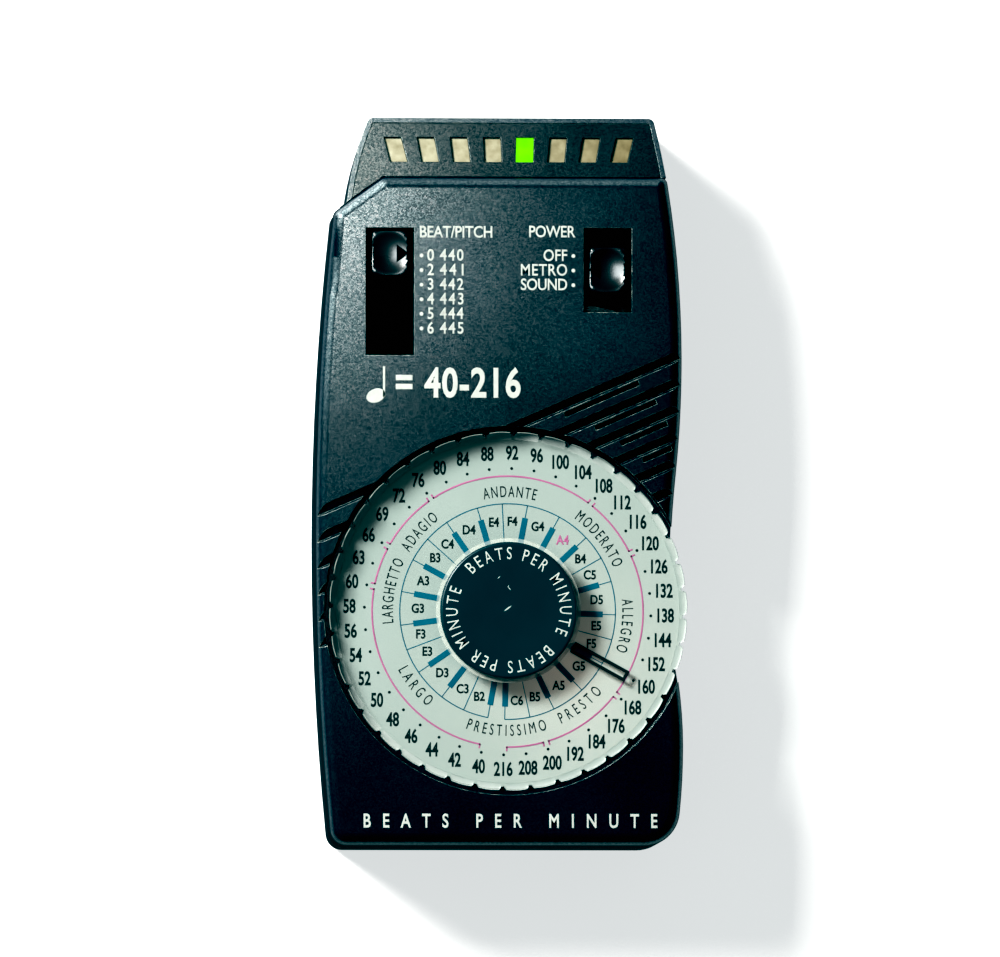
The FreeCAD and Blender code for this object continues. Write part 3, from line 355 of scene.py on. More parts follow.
# %% Sky, floor and the picture's tones
SKY_COLOUR = Vector((0.88, 0.97, 1.0))
SKY_LEVELS = [                    # from straight below at 0, past the horizon at 0.5, to 1 above
    (0.0, 0.03), (0.09, 0.10), (0.24, 1.4), (0.48, 1.5), (0.52, 0.10), (1.0, 0.10)]
WINDOW_WAY = (-0.8, 0.6, 0)
BLACK_LEVEL = (0.041, 0.011, 0.009)   # taking most from red turns the darks to teal

world = bpy.data.worlds.new("studio_sky")
scene.world = world
world.use_nodes = True
sky = world.node_tree
direction = new(sky, "TexCoord").outputs["Generated"]
height = spread(sky, axis(sky, "Z", direction), 0.0, 1.0, -1.0, 1.0)
levels = [(position, SKY_COLOUR * level) for position, level in SKY_LEVELS]
window_side = alignment(sky, direction, WINDOW_WAY)
wire(sky, sky.nodes["Background"], {
    "Color": shades(sky, height, levels),
    "Strength": spread(sky, window_side, 0.8, 1.1, -0.7, 0.7)})

view = scene.view_settings
view.view_transform, view.look = "Standard", "High Contrast"
view.use_curve_mapping = True
view.curve_mapping.black_level = BLACK_LEVEL
view.curve_mapping.update()

under_it = (0, 0, cad_box[0][2] - 0.05 * MM)
floor = added(bpy.ops.mesh.primitive_plane_add, size=6, location=under_it)
floor.name = "studio_floor"
floor.visible_glossy = False
print("sky, floor and tones")

# %% [markdown]
# ## Finishes
# No real surface is one flat colour. Every finish below mixes two close shades with a soft noise,
# lets the gloss wander a little, and raises a fine grain as bump.

# %% Helpers for finishes
for plain in bpy.data.materials:
    plain.name = "frame_" + plain.name


def blank(name):
    """A new material's tree and its shader."""
    material = finishes[name] = bpy.data.materials.new(name)
    material.use_nodes = True
    return material.node_tree, material.node_tree.nodes["Principled BSDF"]


def raised(tree, shader, height, depth, strength=1.0, edge=0.12):
    """Bump of a given depth, over edges that look rounded to a small radius, in millimetres."""
    bump = new(tree, "Bump")
    wire(tree, bump, {"Normal": rounded_normal(tree, edge), "Distance": depth * MM,
                      "Strength": strength, "Height": height})
    tree.links.new(bump.outputs["Normal"], shader.inputs["Normal"])


def surface(name, dark, light, rough, grain=5000, depth=0.02, cloud=90, metal=0.0,
            stretch=None, coat=0.0, specular=0.5):
    """The plain recipe: two clouded shades, wandering gloss and a fine grain."""
    tree, shader = blank(name)
    clouds = noise(tree, cloud, 5)
    fine = noise(tree, grain, 2, stretch)
    wire(tree, shader, {
        "Base Color": shades(tree, clouds, [(0.3, dark), (0.7, light)]),
        "Roughness": spread(tree, clouds, rough - 0.05, rough + 0.06),
        "Metallic": metal, "Coat Weight": coat, "Specular IOR Level": specular})
    raised(tree, shader, fine, depth)


print("helpers for finishes are ready")

# %% [markdown]
# ### The black mouldings
# The case is ABS moulded in a spark-eroded tool, which leaves a fine sand-like texture. In grazing
# light each tiny facet catches the lamp on its own, so the face glitters on its lit side and is
# plain black elsewhere. Bump that fine would turn to streaks, so each cell of a Voronoi pattern
# reflects more or less instead. Seen at a low angle, a sand texture hides behind its own bumps and
# loses gloss, which the layer weight node copies on the flat face. Sharp edges are painted pale in
# broken stretches, both as rubbed wear and as painted highlights along the edges: a bevel node's
# rounded direction leaves the true one only there. A few specks of dust lie on top, at the middles
# of larger cells.

# %% Grained black plastic
GRAIN, GLITTER, DUST, CLOUDS, EDGE_BREAKS = 2600, 4400, 190, 45, 800     # pattern scales
GRAIN_DEPTH, ROUND_R, EDGE_REACH = 0.0016, 0.18, 0.17              # millimetres
SHINE, LOW_ANGLE_SHINE = 0.7, 0.006
GLINTS = [(0.0, (0.21, 0.27, 0.28)), (0.5, (0.48, 0.62, 0.63)),
          (0.85, (0.78, 0.94, 0.95)), (1.0, (0.92, 1.0, 1.0))]


# the mask of pale edges, which are rubbed wear and painted edge highlights at once
def worn_edges(tree):
    """Near 1 along sharp edges, in broken stretches, and 0 elsewhere."""
    true_normal = new(tree, "NewGeometry").outputs["Normal"]
    agreement = alignment(tree, rounded_normal(tree, EDGE_REACH), true_normal)
    edge = spread(tree, agreement, 1.0, 0.0, 0.90, 0.99)
    broken = spread(tree, noise(tree, EDGE_BREAKS, 4), 0.0, 1.0, 0.38, 0.62)
    return calculated(tree, "MULTIPLY", edge, broken)


def shine_by_angle(tree):
    """The specular level: full from above, and nearly none on flat faces at a low angle."""
    turned_away = new(tree, "LayerWeight").outputs["Facing"]
    upwards = axis(tree, "Z", new(tree, "TexCoord").outputs["Normal"])
    flat = spread(tree, upwards, 0.0, 1.0, 0.93, 0.99)
    low_angle = calculated(tree, "MULTIPLY", turned_away, flat)
    return spread(tree, low_angle, SHINE, LOW_ANGLE_SHINE, 0.28, 0.50)


def spark_texture(name, dark, light, rough, speck, wear_and_highlight):
    """Sand-textured black plastic: facet glitter, dust, pale edges of wear and painted highlight.
    """
    tree, shader = blank(name)
    clouds = noise(tree, CLOUDS, 4)
    base = shades(tree, clouds, [(0.3, dark), (0.7, light)])
    dust = shades(tree, cells(tree, DUST, "Distance"),
                  [(0.0, speck), (0.03, (0, 0, 0)), (1, (0, 0, 0))])
    dusty = mixed(tree, 1.0, base, dust, "ADD")
    facet = new(tree, "SeparateColor")
    tree.links.new(cells(tree, GLITTER, "Color"), facet.inputs["Color"])
    # what an export falls back on
    shader.inputs["Specular IOR Level"].default_value = SHINE     # the plain level, under the link below
    # pale edges in the base colour: partly wear, partly painted highlight
    wire(tree, shader, {
        "Base Color": mixed(tree, worn_edges(tree), dusty, (*wear_and_highlight, 1)),
        "Roughness": spread(tree, clouds, rough - 0.02, rough + 0.03),
        "Specular IOR Level": shine_by_angle(tree),
        "Specular Tint": shades(tree, facet.outputs["Red"], GLINTS)})
    raised(tree, shader, noise(tree, GRAIN, 2), GRAIN_DEPTH, edge=ROUND_R)


# the wear_and_highlight colours paint the pale edges, both as wear and as painted highlights
spark_texture("case_plastic", (0.0003, 0.0012, 0.0038), (0.0006, 0.0024, 0.0064), 0.24,
              speck=(0.10, 0.11, 0.11), wear_and_highlight=(0.20, 0.21, 0.18))
spark_texture("panel_plastic", (0.0003, 0.0018, 0.0050), (0.0007, 0.0034, 0.0080), 0.24,
              speck=(0.12, 0.13, 0.13), wear_and_highlight=(0.08, 0.09, 0.08))
spark_texture("back_plastic", (0.0004, 0.0020, 0.0055), (0.0009, 0.0036, 0.0090), 0.30,
              speck=(0.05, 0.05, 0.05), wear_and_highlight=(0.06, 0.065, 0.06))
print("case, panel and back plastics")

# %% [markdown]
# ### The dial
# The scale is a white printed plate. Over it turns a wheel of clear acrylic. A real refraction
# would need the lamps' light to pass two surfaces, which costs many samples and gives dark
# patches, so the wheel mixes a nearly clear transparent shader with a glossy one. Fresnel decides
# how much gloss shows, which is little from above and much along the edges. Only outer faces are
# glossy, because light that leaves through the back of a face must not be held up. The rim's outer
# edge and the collar gather light inside the plastic and show it as a pale glow, which is painted
# on them as a half clear, pale colour. Seen from above, the thick rim also bends the white of the
# scale out to its very edge, and that bent light is painted too, as white on the rim's underside.
# Rays that look for a lamp pass through that painted white, so it throws no shadow on the scale.

# %% Scale plate and clear plastic
CLEAR = (0.97, 0.985, 0.98, 1)    # the tint of light that passes the acrylic
ACRYLIC_IOR, MOST_GLOSS = 1.49, 0.22
SMOOTH = {"grain": 1500, "depth": 0.004}
INKS = {"grain": 3000, "depth": 0.002}


def see_through(tree):
    shader = new(tree, "BsdfTransparent")
    shader.inputs["Color"].default_value = CLEAR
    return shader.outputs["BSDF"]


def show_mix(tree, factor, first, second):
    """Show a mix of two shaders as the material's surface."""
    node = new(tree, "MixShader")
    for socket, value in zip(node.inputs, (factor, first, second)):
        tree.links.new(value, socket)
    tree.links.new(node.outputs["Shader"], tree.nodes["Material Output"].inputs["Surface"])


surface("scale_white", (0.425, 0.470, 0.452), (0.465, 0.508, 0.490), 0.36, cloud=30, **SMOOTH)

clear, clear_shader = blank("clear_plastic")
clear.nodes.remove(clear_shader)
gloss = new(clear, "BsdfGlossy")
wire(clear, gloss, {"Color": (0.95, 1.0, 0.99, 1),
                    "Roughness": spread(clear, noise(clear, 60, 4), 0.06, 0.14)})
fresnel = new(clear, "Fresnel")
fresnel.inputs["IOR"].default_value = ACRYLIC_IOR
back_side = new(clear, "NewGeometry").outputs["Backfacing"]
outer_only = calculated(clear, "SUBTRACT", fresnel.outputs["Fac"], back_side, clamp=True)
at_most = calculated(clear, "MINIMUM", outer_only, MOST_GLOSS)
show_mix(clear, at_most, see_through(clear), gloss.outputs["BSDF"])

print("scale plate and clear plastic")

# %% Rim finishes and printing inks
# painted glow: a half clear, pale colour for the light that the rim's edge and the collar gather
glow_paint, glow_paint_shader = blank("frosted_edge")
glow_paint_clouds = noise(glow_paint, 700, 3)
wire(glow_paint, glow_paint_shader, {
    "Base Color": shades(glow_paint, glow_paint_clouds,
                         [(0.3, (0.62, 0.66, 0.60)), (0.7, (0.74, 0.77, 0.70))]),
    "Roughness": spread(glow_paint, glow_paint_clouds, 0.16, 0.30),
    "Alpha": spread(glow_paint, glow_paint_clouds, 0.35, 0.50)})

# painted refraction: white on the rim's underside for the scale's white that the clear rim bends
surface("rim_glow", (0.43, 0.465, 0.445), (0.50, 0.53, 0.51), 0.4, cloud=260, **SMOOTH)
rim = finishes["rim_glow"].node_tree
lamp_ray = new(rim, "LightPath").outputs["Is Shadow Ray"]
show_mix(rim, lamp_ray, rim.nodes["Principled BSDF"].outputs["BSDF"], see_through(rim))

surface("print_black", (0.004, 0.004, 0.004), (0.010, 0.011, 0.012), 0.40, **INKS)
surface("print_ink", (0.002, 0.003, 0.003), (0.006, 0.008, 0.008), 0.6, **INKS)
surface("print_pink", (0.50, 0.15, 0.32), (0.60, 0.21, 0.39), 0.5, **INKS)
surface("print_teal", (0.008, 0.12, 0.19), (0.016, 0.16, 0.24), 0.5, **INKS)
surface("print_white", (0.52, 0.55, 0.52), (0.60, 0.63, 0.59), 0.45,
        grain=2400, depth=0.004, cloud=700)
# the edge's painted glow, the rim's painted white and five printing inks
print("frosted edge, glowing rim and five printing inks")

# %% [markdown]
# ### Cap, sliders and beat windows
# The cap and the sliders are smoother mouldings than the case. The cap has a few hairline
# nicks, each a round gradient that is moved to its place and squeezed to a line. The beat windows
# are translucent mottled plastic, painted darker and browner towards the right as painted shade,
# where less lamp light reaches them, and the lit one glows by emission.

# %% Cap and slider finishes
NICKS = [                         # x and y from the axis, turn in degrees, length and width
    (-0.2, 0.3, 36, 1.25, 0.22), (0.1, 3.9, -50, 0.6, 0.12),
    (-1.8, 5.9, 40, 0.5, 0.12), (-0.1, 4.3, 60, 0.35, 0.1)]

cap, cap_shader = blank("cap_plastic")


def nick(x, y, turn, long, wide):
    """A bright nick in the cap: a sphere gradient, moved to its place and squeezed to a line."""
    to_place = new(cap, "Mapping", vector_type="TEXTURE")
    wire(cap, to_place, {
        "Location": (dial_x + x * MM, dial_y + y * MM, cap_high.z),
        "Rotation": (0, 0, math.radians(turn)), "Scale": (long * MM, wide * MM, MM),
        "Vector": object_place(cap)})
    blob = new(cap, "TexGradient", gradient_type="SPHERICAL")
    cap.links.new(to_place.outputs["Vector"], blob.inputs["Vector"])
    return blob.outputs["Fac"]


cap_clouds = noise(cap, 90, 4)
cap_shade = shades(cap, cap_clouds,
                   [(0.3, (0.0010, 0.0240, 0.0330)), (0.75, (0.0016, 0.0290, 0.0400))])
nicks = nick(*NICKS[0])
for other in NICKS[1:]:
    nicks = calculated(cap, "MAXIMUM", nicks, nick(*other))
wire(cap, cap_shader, {
    "Base Color": mixed(cap, spread(cap, nicks, 0.0, 1.0, 0.25, 0.6), cap_shade,
                        (0.55, 0.60, 0.56, 1)),
    "Roughness": spread(cap, cap_clouds, 0.32, 0.40)})
raised(cap, cap_shader, noise(cap, 3800, 2), 0.003)

surface("slider_plastic", (0.0008, 0.0012, 0.0018), (0.003, 0.004, 0.005), 0.27, **SMOOTH)
# a dull black darker than the button: painted shade on the flanges; the arrows use it as matte ink
surface("slider_shade", (0.0003, 0.0004, 0.0005), (0.0010, 0.0012, 0.0014), 0.75,
        grain=2000, depth=0.004, specular=0.1)

print("cap and two slider finishes")

# %% Beat window finishes
window, window_shader = blank("window_plastic")
mottle = noise(window, 520, 6)
window_mottle = shades(window, mottle, [(0.30, (0.29, 0.265, 0.18)), (0.5, (0.38, 0.36, 0.26)),
                                (0.7, (0.46, 0.45, 0.34))])
# painted shade: the windows darken and brown towards the right, where less lamp light falls
painted_falloff_shade = spread(window, axis(window, "X", object_place(window)), 0.0, 1.0,
                dial_x - 14 * MM, dial_x + 26 * MM)
wire(window, window_shader, {
    "Base Color": mixed(window, painted_falloff_shade, window_mottle, (0.52, 0.44, 0.30, 1), "MULTIPLY"),
    "Roughness": spread(window, mottle, 0.30, 0.45)})
raised(window, window_shader, mottle, 0.03)

lit, lit_shader = blank("lit_window")
lit_clouds = noise(lit, 260, 3)
wire(lit, lit_shader, {
    "Base Color": (0.02, 0.09, 0.002, 1),
    "Emission Color": shades(lit, lit_clouds,
                             [(0.3, (0.15, 0.62, 0.0002)), (0.7, (0.22, 0.80, 0.0004))]),
    "Emission Strength": 1.0, "Specular IOR Level": 0.1,
    "Roughness": spread(lit, lit_clouds, 0.3, 0.4)})
print("dark and lit windows")

# %% [markdown]
# ### What the case holds
# These finishes only show when the battery door is open or through the slots, but each piece still
# looks like what it is: a green circuit board, a flat ribbon cable, steel, brass, ferrite,
# a felt cloth and a dark paper cone.

# %% Inner finishes
surface("screw_steel", (0.36, 0.36, 0.38), (0.48, 0.48, 0.50), 0.32, 2500, 0.006, metal=1.0)
surface("spring_steel", (0.42, 0.42, 0.43), (0.56, 0.56, 0.57), 0.28, 900, 0.004, metal=1.0,
        stretch=(1, 9, 1))
surface("can_steel", (0.50, 0.50, 0.51), (0.64, 0.64, 0.65), 0.24, 1400, 0.004, metal=1.0)
surface("contact_brass", (0.52, 0.36, 0.14), (0.68, 0.50, 0.22), 0.30, 1800, 0.004, metal=1.0)
surface("led_resin", (0.40, 0.52, 0.16), (0.52, 0.66, 0.24), 0.30, 1200, 0.01)
surface("ribbon_plastic", (0.42, 0.42, 0.40), (0.60, 0.60, 0.58), 0.35, 1600, 0.08,
        stretch=(1, 0.02, 1))
surface("inner_plastic", (0.008, 0.009, 0.010), (0.020, 0.021, 0.023), 0.45, 3000, 0.02)
surface("switch_plastic", (0.0010, 0.0012, 0.0014), (0.0030, 0.0034, 0.0038), 0.7, 2600, 0.01,
        specular=0.15)
surface("chip_resin", (0.010, 0.010, 0.011), (0.026, 0.026, 0.027), 0.55, 4200, 0.03)
surface("sleeve_plastic", (0.012, 0.025, 0.16), (0.03, 0.05, 0.26), 0.25, 1300, 0.01, coat=0.3)
surface("resistor_resin", (0.42, 0.27, 0.13), (0.58, 0.42, 0.24), 0.3, 1500, 0.02, 900)
surface("magnet_iron", (0.030, 0.031, 0.033), (0.075, 0.076, 0.08), 0.6, 2200, 0.05)
surface("cone_paper", (0.012, 0.012, 0.012), (0.04, 0.04, 0.038), 0.85, 2400, 0.06)
surface("lead_red", (0.30, 0.010, 0.010), (0.46, 0.02, 0.018), 0.4, 1800, 0.01)
surface("lead_black", (0.006, 0.006, 0.007), (0.018, 0.018, 0.02), 0.4, 1800, 0.01)
print(len(finishes), "finishes so far")

# %% [markdown]
# The circuit board's solder resist shows copper traces under it as slightly lighter lines. A wave
# bent by noise, cut to narrow bands, gives such lines. The speaker's cloth is a real weave: two
# waves at right angles. The battery has a plain dark jacket with a copper-coloured end band, which
# follows its length, so the band is a ramp over the X coordinate.

# %% Board, cloth and battery finishes
# the resist's green and its traces are painted dark: painted shade for the closed case's inside
SHADED_RESIST, SHADED_RESIST_DARK, SHADED_TRACE = (0.006, 0.030, 0.012), (0.004, 0.022, 0.009), (0.018, 0.070, 0.026)
THREADS = 900                     # the weave's scale

board, board_shader = blank("board_resin")
traces = new(board, "TexWave", wave_profile="SAW")
wire(board, traces, {"Scale": 130, "Distortion": 5.0, "Detail": 0.0, "Detail Scale": 0.35,
                     "Vector": object_place(board)})
wire(board, board_shader, {
    "Base Color": shades(board, traces.outputs["Fac"],
                         [(0.0, SHADED_RESIST_DARK), (0.55, SHADED_RESIST), (0.62, SHADED_TRACE), (0.9, SHADED_RESIST)]),
    "Roughness": spread(board, noise(board, 300), 0.25, 0.4)})
raised(board, board_shader, traces.outputs["Fac"], 0.02, 0.6)

felt, felt_shader = blank("speaker_felt")


def threads(way):
    wave = new(felt, "TexWave", bands_direction=way)
    wire(felt, wave, {"Scale": THREADS, "Vector": object_place(felt)})
    return wave.outputs["Fac"]


weave = calculated(felt, "MULTIPLY", threads("X"), threads("Y"))
wire(felt, felt_shader, {
    "Base Color": shades(felt, weave, [(0.1, (0.002, 0.002, 0.002)), (0.8, (0.03, 0.03, 0.03))]),
    "Roughness": 0.9})
raised(felt, felt_shader, weave, 0.12)

battery_low, battery_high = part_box("battery")
jacket, jacket_shader = blank("battery_jacket")
along_it = spread(jacket, axis(jacket, "X", object_place(jacket)), 0, 1,
                  battery_low.x, battery_high.x)
wire(jacket, jacket_shader, {
    "Base Color": shades(jacket, along_it,
                         [(0.0, (0.020, 0.021, 0.024)), (0.70, (0.032, 0.033, 0.037)),
                          (0.715, (0.44, 0.20, 0.09)), (1.0, (0.50, 0.25, 0.12))]),
    "Roughness": spread(jacket, noise(jacket, 200, 4), 0.28, 0.42),
    "Metallic": 0.7})
raised(jacket, jacket_shader, noise(jacket, 1500, 2), 0.006)
print("board, cloth and battery finishes")

# %% [markdown]
# The frame's pieces keep their CAD shape. Each takes the finish that its record's slot names.

# %% Put the finishes on the frame's pieces
for row in frame["record"]["subparts"]:
    obj = nodes[row["node"]]
    for index in range(len(obj.data.materials)):
        obj.data.materials[index] = finishes[row["material_slot"]]
print(len(finishes), "finishes on", len(nodes), "pieces")

# %% [markdown]
# The floor is a pale sheet of paper with hardly any grain, lit a little from below like a light
# table, so that the shadow on it stays soft and pale.

# %% Floor finish
surface("floor_paper", (0.62, 0.63, 0.63), (0.66, 0.67, 0.67), 0.8, grain=900, cloud=12)
paper = finishes["floor_paper"].node_tree
wire(paper, paper.nodes["Principled BSDF"],
     {"Emission Color": (1.0, 1.0, 1.0, 1), "Emission Strength": 0.50})
floor.data.materials.append(finishes["floor_paper"])
print("floor paper")

# %% [markdown]
# ## The clear wheel
# The wheel is turned by the thumb at the case's waist. It is one clear moulding: a thick rim with
# forty notches, one for each tempo, a thin web over the scale, and a low collar round the cap.
# It starts as a disc with sixteen corners for each notch. Insets and extrusions draw the rim, web
# and collar in turn, and moving whole families of corners in or out by a scale about the axis
# makes all forty notches at once.

# %% Wheel: measures and helpers
STEPS, CORNERS = 40, 16           # notches in a turn, and corners from one notch to the next
FIRST_NOTCH = 1.8                 # degrees clockwise
RIM_WIDTH, RIM_SLOPE, RIM_ROUND = 1.35 * MM, 0.35 * MM, 0.35 * MM
WEB_THICK, COLLAR_WALL = 1.7 * MM, 0.7 * MM
rim_top, rim_under = wheel_high.z - 0.25 * MM, wheel_low.z
rim_middle = (rim_top + rim_under) / 2
web_top, web_under = cap_low.z, cap_low.z - WEB_THICK
collar_top, collar_r, bore_r = wheel_high.z, cap_r + 0.73 * MM, 3.05 * MM


def editing(on):
    bpy.ops.object.mode_set(mode="EDIT" if on else "OBJECT")


def select_all():
    bpy.ops.mesh.select_all(action="SELECT")


def pick(obj, kind, wanted):
    """Select the faces, edges or corners that a test on their middle accepts, and edit them."""
    editing(True)
    bpy.ops.mesh.select_mode(type=kind)
    bpy.ops.mesh.select_all(action="DESELECT")
    editing(False)
    mesh = obj.data
    if kind == "VERT":
        for vertex in mesh.vertices:
            vertex.select = wanted(vertex.co)
    elif kind == "EDGE":
        for edge in mesh.edges:
            a, b = (mesh.vertices[i].co for i in edge.vertices)
            edge.select = wanted((a + b) / 2)
    else:
        for polygon in mesh.polygons:
            polygon.select = wanted(polygon.center) and abs(polygon.normal.z) > 0.9
    editing(True)


def radius(place):
    return math.hypot(place.x - dial_x, place.y - dial_y)


def inset(thickness):
    bpy.ops.mesh.inset(thickness=thickness)


def extrude(height):
    bpy.ops.mesh.extrude_region_move(TRANSFORM_OT_translate={"value": (0, 0, height)})


def shrink(part):
    """Bring what is selected nearer to the axis by a part of its radius."""
    left = 1 - part
    bpy.ops.transform.resize(value=(left, left, 1), center_override=(dial_x, dial_y, rim_top))
    editing(False)


print("rim", round((rim_top - rim_under) / MM, 2), "mm high, web at", round(web_top / MM, 2), "mm")

# %% Wheel: rim, web and collar
wheel = settle(added(
    bpy.ops.mesh.primitive_cylinder_add, vertices=STEPS * CORNERS, radius=wheel_r,
    depth=rim_top - rim_under, location=(dial_x, dial_y, rim_middle)))
for surface_z, web_z in ((rim_top, web_top), (rim_under, web_under)):
    pick(wheel, "FACE", lambda place: abs(place.z - surface_z) < 0.01 * MM and radius(place) < MM)
    inset(RIM_WIDTH)
    extrude(web_z - surface_z)
    inset(RIM_SLOPE)
    inset(wheel_r - RIM_WIDTH - RIM_SLOPE - collar_r)
    if surface_z == rim_top:
        extrude(collar_top - web_z)
        inset(COLLAR_WALL)
        extrude(web_z - collar_top)
        inset(collar_r - COLLAR_WALL - bore_r)
    else:
        inset(collar_r - bore_r)
    bpy.ops.mesh.delete(type="ONLY_FACE")
    editing(False)
pick(wheel, "EDGE", lambda place: abs(radius(place) - bore_r) < 0.1 * MM)
bpy.ops.mesh.bridge_edge_loops()
editing(False)
print("wheel blank:", len(wheel.data.polygons), "faces")

# %% Wheel: soft edges, notches and lobes
NOTCH_DEPTHS = {0: 0.66, 1: 0.50, 2: 0.10}    # millimetres, by corners from a notch's middle
LOBE = 0.012                                  # how far the inner rim swings in, of its radius


def corner_number(place):
    """How many corners past a notch's middle this place is."""
    clockwise = math.degrees(math.atan2(place.x - dial_x, place.y - dial_y)) - FIRST_NOTCH
    return round(clockwise / 360 * STEPS * CORNERS) % CORNERS


def outer(place):
    return radius(place) > wheel_r - 0.8 * MM


def inner_rim(place):
    return (wheel_r - 1.4 * MM < radius(place) < wheel_r - 1.2 * MM
            and place.z > web_top - 0.1 * MM)


pick(wheel, "EDGE", lambda place: radius(place) > wheel_r - 0.05 * MM
     and abs(place.z - rim_middle) > MM)
bpy.ops.mesh.bevel(offset=RIM_ROUND, segments=3)
editing(False)
for past in range(CORNERS):
    off = min(past, CORNERS - past)
    swell = NOTCH_DEPTHS[2] * (1 - math.sin(math.pi * (off - 2) / (CORNERS - 4)))
    pick(wheel, "VERT", lambda place: outer(place) and corner_number(place) == past)
    shrink(NOTCH_DEPTHS.get(off, swell) * MM / wheel_r)
    pick(wheel, "VERT", lambda place: inner_rim(place) and corner_number(place) == past)
    shrink(LOBE * math.sin(math.pi * past / CORNERS))
alone(wheel)
bpy.ops.object.shade_smooth_by_angle(angle=math.radians(30))
finished(named(wheel, "clear_wheel"), "dial", "clear_plastic")
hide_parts("dial_wheel")

# %% Wheel: its faces with painted glow and painted white
PAINTED_GLOW, PAINTED_REFRACTION = 1, 2           # places of these finishes on the wheel, after the clear one
wheel.data.materials.append(finishes["frosted_edge"])
wheel.data.materials.append(finishes["rim_glow"])
for polygon in wheel.data.polygons:
    middle, r = polygon.center, radius(polygon.center)
    # the collar and the rim's top outer edge get the painted glow, as a pale line of light
    collar = collar_r - 0.75 * MM < r < collar_r + 0.05 * MM and middle.z > web_top
    painted_glow_line = r > wheel_r - 0.24 * MM and middle.z > rim_top - 0.24 * MM
    underside = r > wheel_r - 1.3 * MM and middle.z < rim_under + 0.3 * MM
    between_notches = 0 < corner_number(middle) < CORNERS - 1
    # the underside between the notches gets the painted white of the bent scale
    if collar or painted_glow_line:
        polygon.material_index = PAINTED_GLOW
    elif underside and between_notches:
        polygon.material_index = PAINTED_REFRACTION
print(sum(polygon.material_index > 0 for polygon in wheel.data.polygons), "faces aren't clear")

# %% [markdown]
# The pointer is a black outline under the web, with a clear middle so that a tempo's dot shows
# inside it. A flat square is sized and placed, its middle is cut out by an inset, and what is
# left is given its thickness. A clear wheel gathers light under its cap and warms the cap's
# shadow beside the pointer. A small warm lamp that only the scale sees does the same here.

# %% Pointer outline
POINTER_WAY = math.radians(118.8)
POINTER_LINE, POINTER_WIDTH = 0.60 * MM, 2.12 * MM


def normals_outwards():
    select_all()
    bpy.ops.mesh.normals_make_consistent(inside=False)
    editing(False)


low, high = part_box("dial_pointer")
reaches = [radius(vertex.co) for vertex in nodes["dial_pointer"].data.vertices]
near, far = min(reaches), max(reaches)
pointer = added(bpy.ops.mesh.primitive_plane_add, size=1)
pointer.scale = (POINTER_WIDTH, far - near, 1)
settle(pointer)
editing(True)
select_all()
inset(POINTER_LINE)
bpy.ops.mesh.delete(type="FACE")
select_all()
extrude(high.z - low.z)
normals_outwards()
pointer.location = (0, (near + far) / 2, low.z)
settle(pointer)
pointer.rotation_euler.z = -POINTER_WAY
settle(pointer)
pointer.location = (dial_x, dial_y, 0)
settle(pointer)
finished(named(pointer, "pointer_outline"), "dial", "print_black")
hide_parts("dial_pointer")
print("pointer from", round(near / MM, 1), "to", round(far / MM, 1), "mm from the axis")

# %% Warm light beside the pointer
area_lamp("warm_glow", (dial_x + 13 * MM, dial_y - 12 * MM, plate_z + 36 * MM), 12 * MM, 0.0032,
          (1.0, 0.68, 0.58), group("scale_only", "scale_plate"))
print("one warm lamp for the scale")

# %% [markdown]
# ## Slider buttons
# Each switch has a glossy dished button on a wide flange that slides under the case. The shape
# comes from CAD, so it is copied, its loose triangles are merged and it is shaded smooth. The
# flange only blocks the light, so its faces get a dull black that is darker than the button:
# painted shade, which keeps the slot round the button dark. A raised arrow on the
# button points at the labels: a three-sided prism, laid along the slope of the dish. A panel that
# only the buttons see makes the broad crescent of light in each dish.

# %% Buttons with their arrows
DISH_R, DISH_DEPTH, FLANGE_TOP = 8.0 * MM, 1.0 * MM, 1.2 * MM
ARROW_R, ARROW_THICK, ARROW_OFF, ARROW_UP = 1.55 * MM, 0.30 * MM, 2.0 * MM, 0.03 * MM
ARROW_LONG, ARROW_WIDE = 0.95, 1.22           # against a regular triangle
ARROW_SLOPE = math.radians(14)
buttons = group("buttons")


def button_middle(obj):
    """The middle of the raised button, which isn't the middle of its flange."""
    top = max(vertex.co.z for vertex in obj.data.vertices)
    tops = [vertex.co for vertex in obj.data.vertices if vertex.co.z > top - 0.05 * MM]
    xs, ys = [p.x for p in tops], [p.y for p in tops]
    return (min(xs) + max(xs)) / 2, (min(ys) + max(ys)) / 2


def button(node, points):
    """A merged copy of a slider with its arrow, which points right for 1 and left for -1."""
    low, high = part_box(node)
    kind = node.split("_")[0]
    copy = nodes[node].copy()
    copy.data = nodes[node].data.copy()
    bpy.context.collection.objects.link(copy)
    alone(copy)
    editing(True)
    select_all()
    bpy.ops.mesh.remove_doubles(threshold=0.001 * MM)
    editing(False)
    bpy.ops.object.shade_smooth_by_angle(angle=math.radians(25))
    finished(named(copy, kind + "_button"), node, "slider_plastic")
    copy.data.materials.append(finishes["slider_shade"])
    for polygon in copy.data.polygons:
        # the flange's faces take the darker black, as painted shade in the slot
        polygon.material_index = 0 if polygon.center.z > low.z + FLANGE_TOP else 1
    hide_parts(node)
    buttons.objects.link(copy)

    x, y = button_middle(copy)
    arrow = added(bpy.ops.mesh.primitive_cylinder_add, vertices=3, radius=ARROW_R,
                  depth=ARROW_THICK)
    arrow.rotation_euler.z = math.radians(-90 * points)
    settle(arrow)
    arrow.scale.x, arrow.scale.y = ARROW_LONG, ARROW_WIDE
    arrow.rotation_euler.y = -ARROW_SLOPE * points
    dish_z = high.z - DISH_DEPTH + DISH_R - math.sqrt(DISH_R ** 2 - ARROW_OFF ** 2)
    arrow.location = (x + points * ARROW_OFF, y, dish_z + ARROW_UP)
    finished(settle(arrow), node, "print_black", "slider_shade").name = kind + "_arrow"


